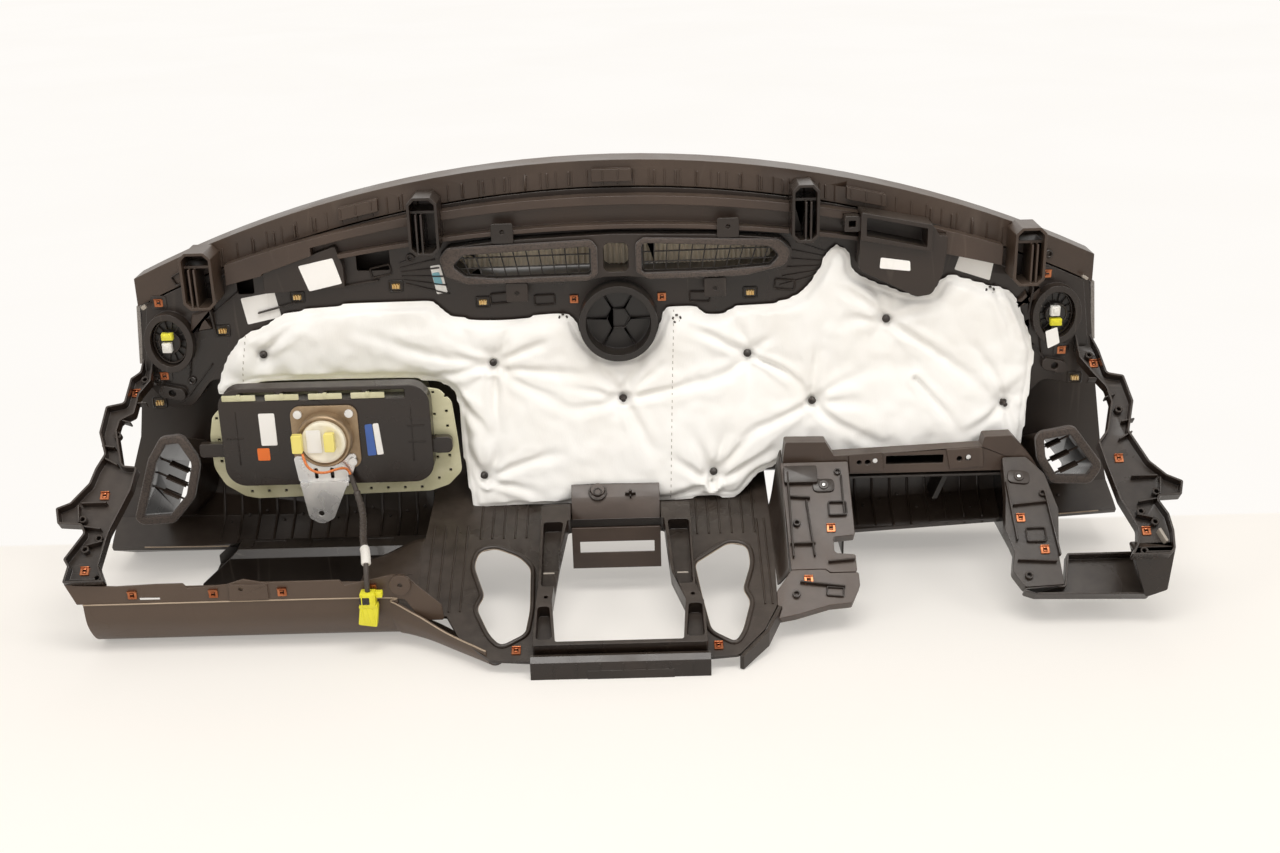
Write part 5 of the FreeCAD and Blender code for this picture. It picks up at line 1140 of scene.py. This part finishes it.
# Lower structure: oval seats, ribs, pockets and bosses of the two legs and the end brackets
legRows = [
    ("pad", ("leg", 281, 16), (30, 20, 8), 3, 0), ("ring", ("leg", 281, 16), (7, 3), 5, 0),
    ("pad", ("leg", 250, 28), (46, 26, 3), 8, 0), ("pad", ("leg", 232, -18), (2.4, 128, 0.8), 9, 0),
    ("pad", ("leg", 258, -34), (2.4, 84, 0.8), 7, 4), ("pad", ("leg", 246, -52), (34, 2.4, 0.8), 8, 0),
    ("pad", ("leg", 246, 2), (30, 2.4, 0.8), 7, -6), ("frame", ("leg", 297, -12), (26, 22, 4), 6, 0),
    ("ring", ("leg", 240, -28), (5, 2.6), 6, 0), ("ring", ("leg", 302, 32), (5, 2.6), 4, 0),
    ("pad", ("leg", 306, 4), (2.4, 60, 0.8), 6, 0), ("pad", ("leg", 296, -72), (36, 2.4, 0.8), 7, 4),
    ("pad", ("leg", 268, -98), (60, 2.4, 0.8), 7, -8), ("ring", ("leg", 232, -108), (5.5, 3), 5, 0),
    ("frame", ("leg", 284, -106), (24, 14, 3), 4, -6),
    ("pad", ("leg", 551, 20), (30, 20, 8), 3, -8), ("ring", ("leg", 551, 20), (7, 3), 5, 0),
    ("pad", ("leg", 534, -20), (2.4, 90, 0.8), 7, 2), ("pad", ("leg", 586, -36), (2.4, 96, 0.8), 8, 4),
    ("frame", ("leg", 562, -48), (28, 22, 4), 5, 0), ("pad", ("leg", 560, -12), (46, 2.4, 0.8), 7, 5),
    ("pad", ("leg", 558, -78), (52, 2.4, 0.8), 7, -4), ("ring", ("leg", 544, -94), (5.5, 2.8), 5, 0),
    ("ring", ("leg", 580, 0), (5, 2.6), 5, 0)]
trayRows = [("pad", ("bracket", side * x, y), (long, 2.2, 0.6), 11, side * turn)
            for side in (-1, 1) for x, y, long, turn in
            ((661, 74, 14, 0), (679, 52, 16, 20), (697, 22, 18, 10), (690, 4, 22, 30), (704, -44, 34, 0),
             (722, -56, 26, 80), (702, -72, 26, 10), (694, -90, 22, -15), (702, -130, 34, 0))]
trayRows += [("ring", ("bracket", side * x, y), (5.5, 2.8), 9, 0) for side in (-1, 1) for x, y in
             ((662, 104), (688, 36), (716, -62), (690, -84), (706, -96), (684, -128))]

# Carrier: lugs under its nuts, pockets and fanned ribs beside the duct, and speaker lugs
carrierFace = 128
carrierRows = [("pad", (x, carrierFace, z), (22, 20, 5), 1.6, 0)
               for x, z in ((-634, 415), (-640, 308), (600, 424), (628, 312))]
carrierRows += [("frame", (x, carrierFace, z), (30, 16, 4), 4, turn) for x, z, turn in
                ((-159, 409, 4), (-98, 405, 2), (118, 404, -2), (236, 418, -6), (-322, 452, 12), (-596, 452, 30))]
carrierRows += [("pad", (side * (268 + 3 * k), carrierFace, 452 + 9 * k), (54 - 3 * k, 1.8, 0.6), 3,
                 side * (-6 - 7 * k))
                for side in (-1, 1) for k in (-3, -2, -1, 0, 1, 2)]
carrierRows += [("pad", (x, carrierFace, z), (long, 2.2, 0.8), 6, turn) for x, z, long, turn in
                ((-560, 440, 70, 32), (-545, 410, 60, 38), (-600, 330, 46, 80), (-590, 300, 60, 50),
                 (-646, 330, 30, 90), (560, 424, 70, -32), (548, 396, 50, -36), (596, 330, 50, -80),
                 (604, 300, 56, -52),
                 (-350, 436, 50, 8), (-470, 404, 56, 14))]
carrierRows += [("ring", (x, carrierFace, z), (6, 3), 4, 0) for x, z in
                ((-602, 300), (-572, 456), (-389, 500), (600, 452), (574, 306), (-280, 470), (300, 400), (-652, 300))]
# Carrier gussets: raised triangles, partly real shape and partly painted highlight, as they take the paler grey finish
# instead of the carrier's dark one
gussets = [[(-598, 364), (-556, 408), (-590, 398)], [(-586, 372), (-560, 376), (-572, 398)],
           [(552, 370), (590, 410), (594, 392)], [(556, 384), (580, 382), (572, 402)]]
points, faces = joinShapes([slab(roundedOutline(np.array(corners) * mm, 2 * mm), (0, carrierFace * mm, 0),
                                 [(0, 0), (1 * mm, 5 * mm), (2.5 * mm, 7 * mm)]) for corners in gussets])
addPiece("carrierGussets", points, faces, "greyPlastic", "grey_plastic")

# Screws with rounded heads, and small pale pads on the stack, carrier and brackets that are painted highlights for the
# light they catch
screwRows = [("boss", (356, 45.2, 184), 3.4, 1.8, 0), ("boss", (486, 45.2, 186), 3.4, 1.8, 0),
             ("boss", ("leg", 281, 16), 2.6, 5.6, 0), ("boss", ("leg", 551, 20), 2.6, 5.6, 0)]
highlightRows = [("pad", ("stack", -97, -76), (15, 2.4, 0.8), 0.9, 0),
             ("pad", ("stack", 82, -80), (15, 2.4, 0.8), 0.9, 0),
             ("pad", (-168, 128, 431), (9, 3, 1), 2, 0), ("pad", ("bracket", 712, -112), (4, 20, 1), 12, 20),
             ("pad", (-652, 118, 412), (7, 6, 1.4), 4, 30), ("pad", (650, 118, 420), (9, 4, 1.2), 4, -30)]

raisedTable = {
    "legDetails": (legRows, "darkPlastic", "grey_plastic"),
    "bracketDetails": (trayRows, "darkPlastic", "dark_plastic"),
    "carrierDetails": (carrierRows, "darkPlastic", "dark_plastic"),
    "plateScrews": (screwRows, "zincSteel", "zinc_steel"),
    # painted highlights: pale clip-grey pads where edges catch the light
    "paintedHighlights": (highlightRows, "clipGrey", "pin_grey"),
}
for name, (rows, finish, slot) in raisedTable.items():
    addShapes(name, raisedShapes(rows), finish, slot)

# Hood: a ringed boss and a cross-shaped locating pin on its slanting sheet
hoodSetup = {"out": (0, -0.63, 0.777), "pin": (14, 50, 139.5), "boss": (-32, 53, 142.6)}


def hoodShapes(setup):
    out, pin, boss = setup["out"], np.array(setup["pin"]) * mm, np.array(setup["boss"]) * mm
    shapes = [slab(disc(2.2 * mm, 16), pin, raised(15 * mm, 1 * mm), out)]
    shapes += [pad(size, pin, 7, 0.6, out) for size in ((15, 2, 0.6), (2, 12, 0.6))]
    shapes += [ringSlab(disc(outer * mm, count), disc(inner * mm, count), boss, height * mm, 0.8 * mm, out)
               for outer, inner, height, count in ((13, 10.5, 3, 36), (6.5, 4, 4.5, 28))]
    return shapes


addShapes("hoodDetails", hoodShapes(hoodSetup), "darkPlastic", "grey_plastic")

# Mouths of the face panel: outlines with corner radii, edged by a dark rolled lip with a pale line inside
mouthSetup = {"left": [(-205, -38, 14), (-198, -10, 14), (-174, -4, 16), (-138, -22, 14), (-121, -44, 10),
                       (-119, -118, 12), (-124, -160, 10), (-158, -181, 12), (-176, -160, 16), (-196, -114, 10),
                       (-187, -92, 8)],
              "right": [(97, -43, 10), (148, -4, 20), (176, -12, 14), (179, -46, 14), (165, -92, 8), (174, -112, 10),
                        (160, -163, 16), (147, -184, 12), (114, -162, 12), (104, -100, 12)], "lip": 3.2, "line": 0.8}


def mouthLips(setup):
    lips, lines = [], []
    out = planeSeat("face", 0, 0)[1]
    for side in ("left", "right"):
        corners = np.array(setup[side], float)
        outline = roundedOutline(corners[:, :2], corners[:, 2], 6)
        for inset, lift, radius, shapes in ((0.5, 0.4, setup["lip"], lips), (-2.4, -0.6, setup["line"], lines)):
            flat = insetOutline(outline, -inset)
            points = (np.column_stack([flat, planeHeight("face", flat[:, 1])]) + out * lift) * mm
            shapes.append(closedTube(points, radius * mm, out))
    addShapes("mouthLips", lips, "shellSkin", "shell_skin", smooth=80)
    addShapes("mouthLines", lines, "edgePale", "pin_grey", smooth=80)


mouthLips(mouthSetup)

# Face panel ribs beside and above its mouths, and studs between them
faceLines = [[(x * mm, z * mm) for z in np.linspace(50, 104, 7)] for x in (-262, -246, -230, -215, 190, 200)]
faceLines += [[(x * mm, z * mm) for z in np.linspace(95, 126, 5)]
              for x in list(range(-196, -116, 16)) + list(range(106, 196, 16))]
ridgesPiece("faceRibs", "centre_face_panel", faceLines, 1.5 * mm, "shellSkin", "shell_skin", 0.2)

# Skins that close the corners: beside the glovebox duct, and between the face panel and the left leg
cornerSetup = {"thick": 2.0, "skins": {
    "kickSkin": {"x": (-352, -272), "y": (-124.6, 16), "finish": "shellSkin",
                 "heights": (lambda y: 79 - 0.08 * (y - y[0]), lambda y: planeHeight("face", y) - 1.2)},
    "legWall": {"x": (209, 226), "y": (-84, 62), "finish": "darkPlastic",
                "heights": (lambda y: planeHeight("face", y) - 1.2, lambda y: planeHeight("leg", y) - 1.5)}}}


# Corner skin: straight between two edge lines across, with a smooth blend of their heights
def cornerSkin(name, leftLine, rightLine, finish):
    share = np.linspace(0, 1, 14)[None, :, None]
    blend = share * share * (3 - 2 * share)
    grid = leftLine[:, None] * (1 - share) + rightLine[:, None] * share
    grid[..., 2:] = leftLine[:, None, 2:] * (1 - blend) + rightLine[:, None, 2:] * blend
    piece = addPiece(name, grid.reshape(-1, 3) * mm, gridFaces(len(leftLine), 14).tolist(), finish, "dark_plastic")
    solid = piece.modifiers.new("thickness", "SOLIDIFY")
    solid.thickness = cornerSetup["thick"] * mm
    solid.offset = 0


def cornerSkins(setup):
    for name, skin in setup["skins"].items():
        y = np.linspace(*skin["y"], 18)
        lines = [np.column_stack([np.full_like(y, x), y, height(y)]) for x, height in zip(skin["x"], skin["heights"])]
        cornerSkin(name, *lines, skin["finish"])


cornerSkins(cornerSetup)

# Lip of the lower pad: a thin pale edge along its foot, in runs from X to X with a start height and a rise
lipSetup = {"y": 111.6, "radius": 1.0, "step": 20,
            "runs": [(-700, -284, 50 - 60 * 7 / 470, -7 / 470), (596, 716, 62.16, 0.06)]}


def lipShapes(setup):
    lines = [np.array([(x, setup["y"], low + (x - start) * rise) for x in range(start, end, setup["step"])]) * mm
             for start, end, low, rise in setup["runs"]]
    return [tubeAlong(line, setup["radius"] * mm, side=(0, 1, 0), count=10)[:2] for line in lines]


addShapes("padLip", lipShapes(lipSetup), "edgePale", "pin_grey")

# Pleats behind the windscreen grilles: a zigzag front and a flat back, carried upright
pleatSetup = {"from": -231, "to": 237, "y": 150, "depth": 4, "pitch": 7, "low": 447, "high": 483}


def pleats(setup):
    x = np.arange(setup["from"], setup["to"] + 1, setup["pitch"] / 2)
    zigzag = setup["y"] + setup["depth"] * (np.arange(len(x)) % 2)
    outline = np.concatenate([np.column_stack([x, zigzag]), [(x[-1], setup["y"] + 8), (x[0], setup["y"] + 8)]])
    points, faces = slab(outline * mm, (0, 0, setup["low"] * mm), [(0, 0), (0, (setup["high"] - setup["low"]) * mm)],
                         out=(0, 0, 1))
    addPiece("ductPleats", points, faces, "pleatPaper", "white_felt", smooth=10)


pleats(pleatSetup)

# Inflator: a tan can with a rolled rim, and a cream cap set into it, as profiles of radius and height
canSetup = {"seat": (-402, 36.4, 243), "count": 72,
            "can": [(38, 0), (38, 13), (37.4, 15.6), (35.6, 17.2), (33.6, 17), (32.4, 15.4), (31.8, 14.6), (30, 14.4)],
            "cap": [(30.4, 12), (30.4, 18), (29.6, 20.2), (27.6, 21), (24, 20.6), (23, 20.2), (0.5, 20.2)]}


def canShape(setup, profile):
    return lathe(np.array(setup[profile]) * mm, np.array(setup["seat"]) * mm, count=setup["count"])


addPiece("inflatorCan", *canShape(canSetup, "can"), "tanSteel", "tan_steel", replaces=["inflator"])
addPiece("inflatorCap", *canShape(canSetup, "cap"), "creamSteel", "cream_steel")
print("structure details added")

# CAD nodes that keep their shape get softened edges and a finish, grouped by finish, slot and edge in millimetres
keptNodes = {
    ("shellSkin", "shell_skin", 0.0): ["dash_pad"],
    ("bandPlastic", "grey_plastic", 0.7): ["windscreen_band"],
    ("darkPlastic", "dark_plastic", 0.8): ["upper_carrier", "defroster_housing", "right_duct_box",
        "end_bracket_left", "end_bracket_right", "driver_frame"],
    ("greyPlastic", "grey_plastic", 0.8): ["upper_beam", "cluster_housing", "left_leg"],
    ("deepPlastic", "dark_plastic", 0.3): ["defroster_grille_left", "defroster_grille_right"],
    ("deepPlastic", "dark_plastic", 0.6): ["centre_speaker_holder"],
    ("deepPlastic", "dark_plastic", 0.5): ["speaker_left", "speaker_right"],
    ("bandPlastic", "dark_plastic", 0.7): ["locator_left_outer", "locator_right_outer"],
    ("darkPlastic", "dark_plastic", 0.7): ["locator_left_inner", "locator_right_inner"],
    ("darkPlastic", "grey_plastic", 0.8): ["left_recess_cover", "centre_stack_frame", "right_leg"],
    ("paleCoating", "pale_coating", 0.5): ["airbag_frame"],
    ("darkPlastic", "dark_plastic", 1.4): ["airbag_housing"],
    ("tanSteel", "tan_steel", 0.7): ["inflator_flange"],
    ("darkPlastic", "dark_plastic", 0.6): ["vent_duct_left", "vent_duct_right", "lower_brace"],
    ("kneeSkin", "dark_plastic", 0.7): ["lower_rail"],
    ("darkPlastic", "dark_plastic", 0.3): ["centre_face_panel"],
    ("glossBlack", "gloss_black", 0.8): ["glovebox_duct"],
    ("greyPlastic", "grey_plastic", 0.7): ["bridge_hood"],
    ("deepPlastic", "dark_plastic", 0.7): ["cluster_hood"],
    ("greyPlastic", "dark_plastic", 0.8): ["column_shelf"],
    ("zincSteel", "zinc_steel", 0.4): ["airbag_bracket"],
    ("paleYellow", "yellow_plastic", 0.8): ["inflator_plugs"],
    ("zincSteel", "zinc_steel", 0.6): ["flange_bolts"],
    ("greyFoam", "grey_foam", 0.8): ["edge_strips"],
    ("greyPlastic", "dark_plastic", 0.4): ["vane_left_1", "vane_left_2", "vane_left_3", "vane_right_1",
        "vane_right_2", "vane_right_3"],
    ("foamSeal", "foam_seal", 2.2): ["defroster_seal_left", "defroster_seal_right"],
    ("foamSeal", "foam_seal", 3.2): ["vent_seal_left", "vent_seal_right"],
}


# Softened copy: doubles merged, flat faces joined, and a bevel on each edge sharper than the limit
def softened(node, finish, slot, edge):
    source = frame["nodes"][node]
    mesh = source.data.copy()
    mesh.materials.clear()
    mesh.materials.append(finishes[finish])
    work = bmesh.new()
    work.from_mesh(mesh)
    bmesh.ops.remove_doubles(work, verts=work.verts, dist=2e-6)
    bmesh.ops.dissolve_limit(work, angle_limit=radians(0.6), verts=work.verts, edges=work.edges)
    work.to_mesh(mesh)
    work.free()
    mesh.shade_smooth()
    mesh.set_sharp_from_angle(angle=radians(32))
    piece = bpy.data.objects.new(node + "_soft", mesh)
    scene.collection.objects.link(piece)
    if edge:
        bevel = piece.modifiers.new("softEdge", "BEVEL")
        bevel.width = edge * mm
        bevel.segments = 3 if edge > 2 else 2
        bevel.limit_method = "ANGLE"
        bevel.angle_limit = radians(38)
        bevel.use_clamp_overlap = False
        bevel.harden_normals = True
    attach(piece, source["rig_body"])
    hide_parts(node)


for settings, nodes in keptNodes.items():
    for node in nodes:
        softened(node, *settings)
print("frame pieces softened:", sum(map(len, keptNodes.values())))

# Surroundings: one pale floor whose tone changes a little behind the part, and a white world
stageSetup = {"half": 14.0, "line": 0.234, "near": tone(252, 248, 242), "far": tone(255, 252, 248)}


def addStage(setup):
    half = setup["half"]
    across = np.linspace(-half, half, 9)
    x, y = np.meshgrid(across, across)
    points = np.stack([x.ravel(), y.ravel(), np.zeros(x.size)], 1)
    mesh = bpy.data.meshes.new("floor")
    mesh.from_pydata(points.tolist(), [], gridFaces(9, 9).tolist())
    material, tree, shader, place, _ = startMaterial("floorPaint")
    depth = addNode(tree, "ShaderNodeSeparateXYZ", {0: place}).outputs["Y"]
    behind = ramp(tree, depth, setup["line"] - 0.004, setup["line"] + 0.004)
    mottle = effect(tree, "uneven", place, 1.2)
    colour = blendTone(tree, behind, setup["near"], setup["far"])
    colour = blendTone(tree, calc(tree, "MULTIPLY", mottle, 0.12), colour, tone(244, 238, 230))
    tree.links.new(colour, shader.inputs["Base Color"])
    shader.inputs["Roughness"].default_value = 0.8
    shader.inputs["Specular IOR Level"].default_value = 0.1
    glow = addNode(tree, "ShaderNodeEmission", {"Color": colour, "Strength": 1.0})
    paths = addNode(tree, "ShaderNodeLightPath")
    seen = calc(tree, "MAXIMUM", paths.outputs["Is Camera Ray"], paths.outputs["Is Glossy Ray"])
    share = calc(tree, "MULTIPLY", seen, ramp(tree, behind, 0, 1, 0.35, 1.0))
    mix = addNode(tree, "ShaderNodeMixShader", {0: share, 1: shader.outputs[0], 2: glow.outputs[0]})
    tree.links.new(mix.outputs[0], tree.nodes["Material Output"].inputs["Surface"])
    mesh.materials.append(material)
    floor = bpy.data.objects.new("floor", mesh)
    scene.collection.objects.link(floor)


def addWorld():
    world = bpy.data.worlds.new("studio")
    scene.world = world
    world.use_nodes = True
    tree = world.node_tree
    tree.nodes.clear()
    paths = addNode(tree, "ShaderNodeLightPath")
    seen = calc(tree, "MAXIMUM", calc(tree, "MAXIMUM", paths.outputs["Is Camera Ray"], paths.outputs["Is Glossy Ray"]),
                paths.outputs["Is Transmission Ray"])
    dim = addNode(tree, "ShaderNodeBackground", {"Color": tone(255, 250, 244), "Strength": 0.55})
    bright = addNode(tree, "ShaderNodeBackground", {"Color": tone(255, 252, 248), "Strength": 1.0})
    mix = addNode(tree, "ShaderNodeMixShader", {0: seen, 1: dim.outputs[0], 2: bright.outputs[0]})
    out = tree.nodes.new("ShaderNodeOutputWorld")
    tree.links.new(mix.outputs[0], out.inputs["Surface"])


lamps = {"overhead": {"place": (0.1, -1.0, 2.5), "aim": (0, 0.0, 0.2), "size": (1.9, 0.9), "power": 34},
         "left": {"place": (-2.2, -1.9, 1.7), "aim": (0, 0, 0.25), "size": (0.8, 1.1), "power": 14},
         "right": {"place": (2.4, -1.5, 1.9), "aim": (0, 0, 0.25), "size": (0.8, 1.1), "power": 12},
         "back": {"place": (0.0, 2.4, 2.4), "aim": (0, 0, 0.2), "size": (2.6, 1.4), "power": 16}}


def addLamps(setup):
    for name, lamp in setup.items():
        data = bpy.data.lights.new(name, "AREA")
        data.shape = "RECTANGLE"
        data.size, data.size_y = lamp["size"]
        data.energy = lamp["power"]
        data.color = (1.0, 0.982, 0.958)
        lampObject = bpy.data.objects.new(name, data)
        scene.collection.objects.link(lampObject)
        way = Vector(lamp["aim"]) - Vector(lamp["place"])
        lampObject.matrix_world = Matrix.Translation(lamp["place"]) @ way.to_track_quat("-Z", "Y").to_matrix().to_4x4()


addStage(stageSetup)
addWorld()
addLamps(lamps)
scene.view_settings.view_transform = "Standard"
print("stage lit")
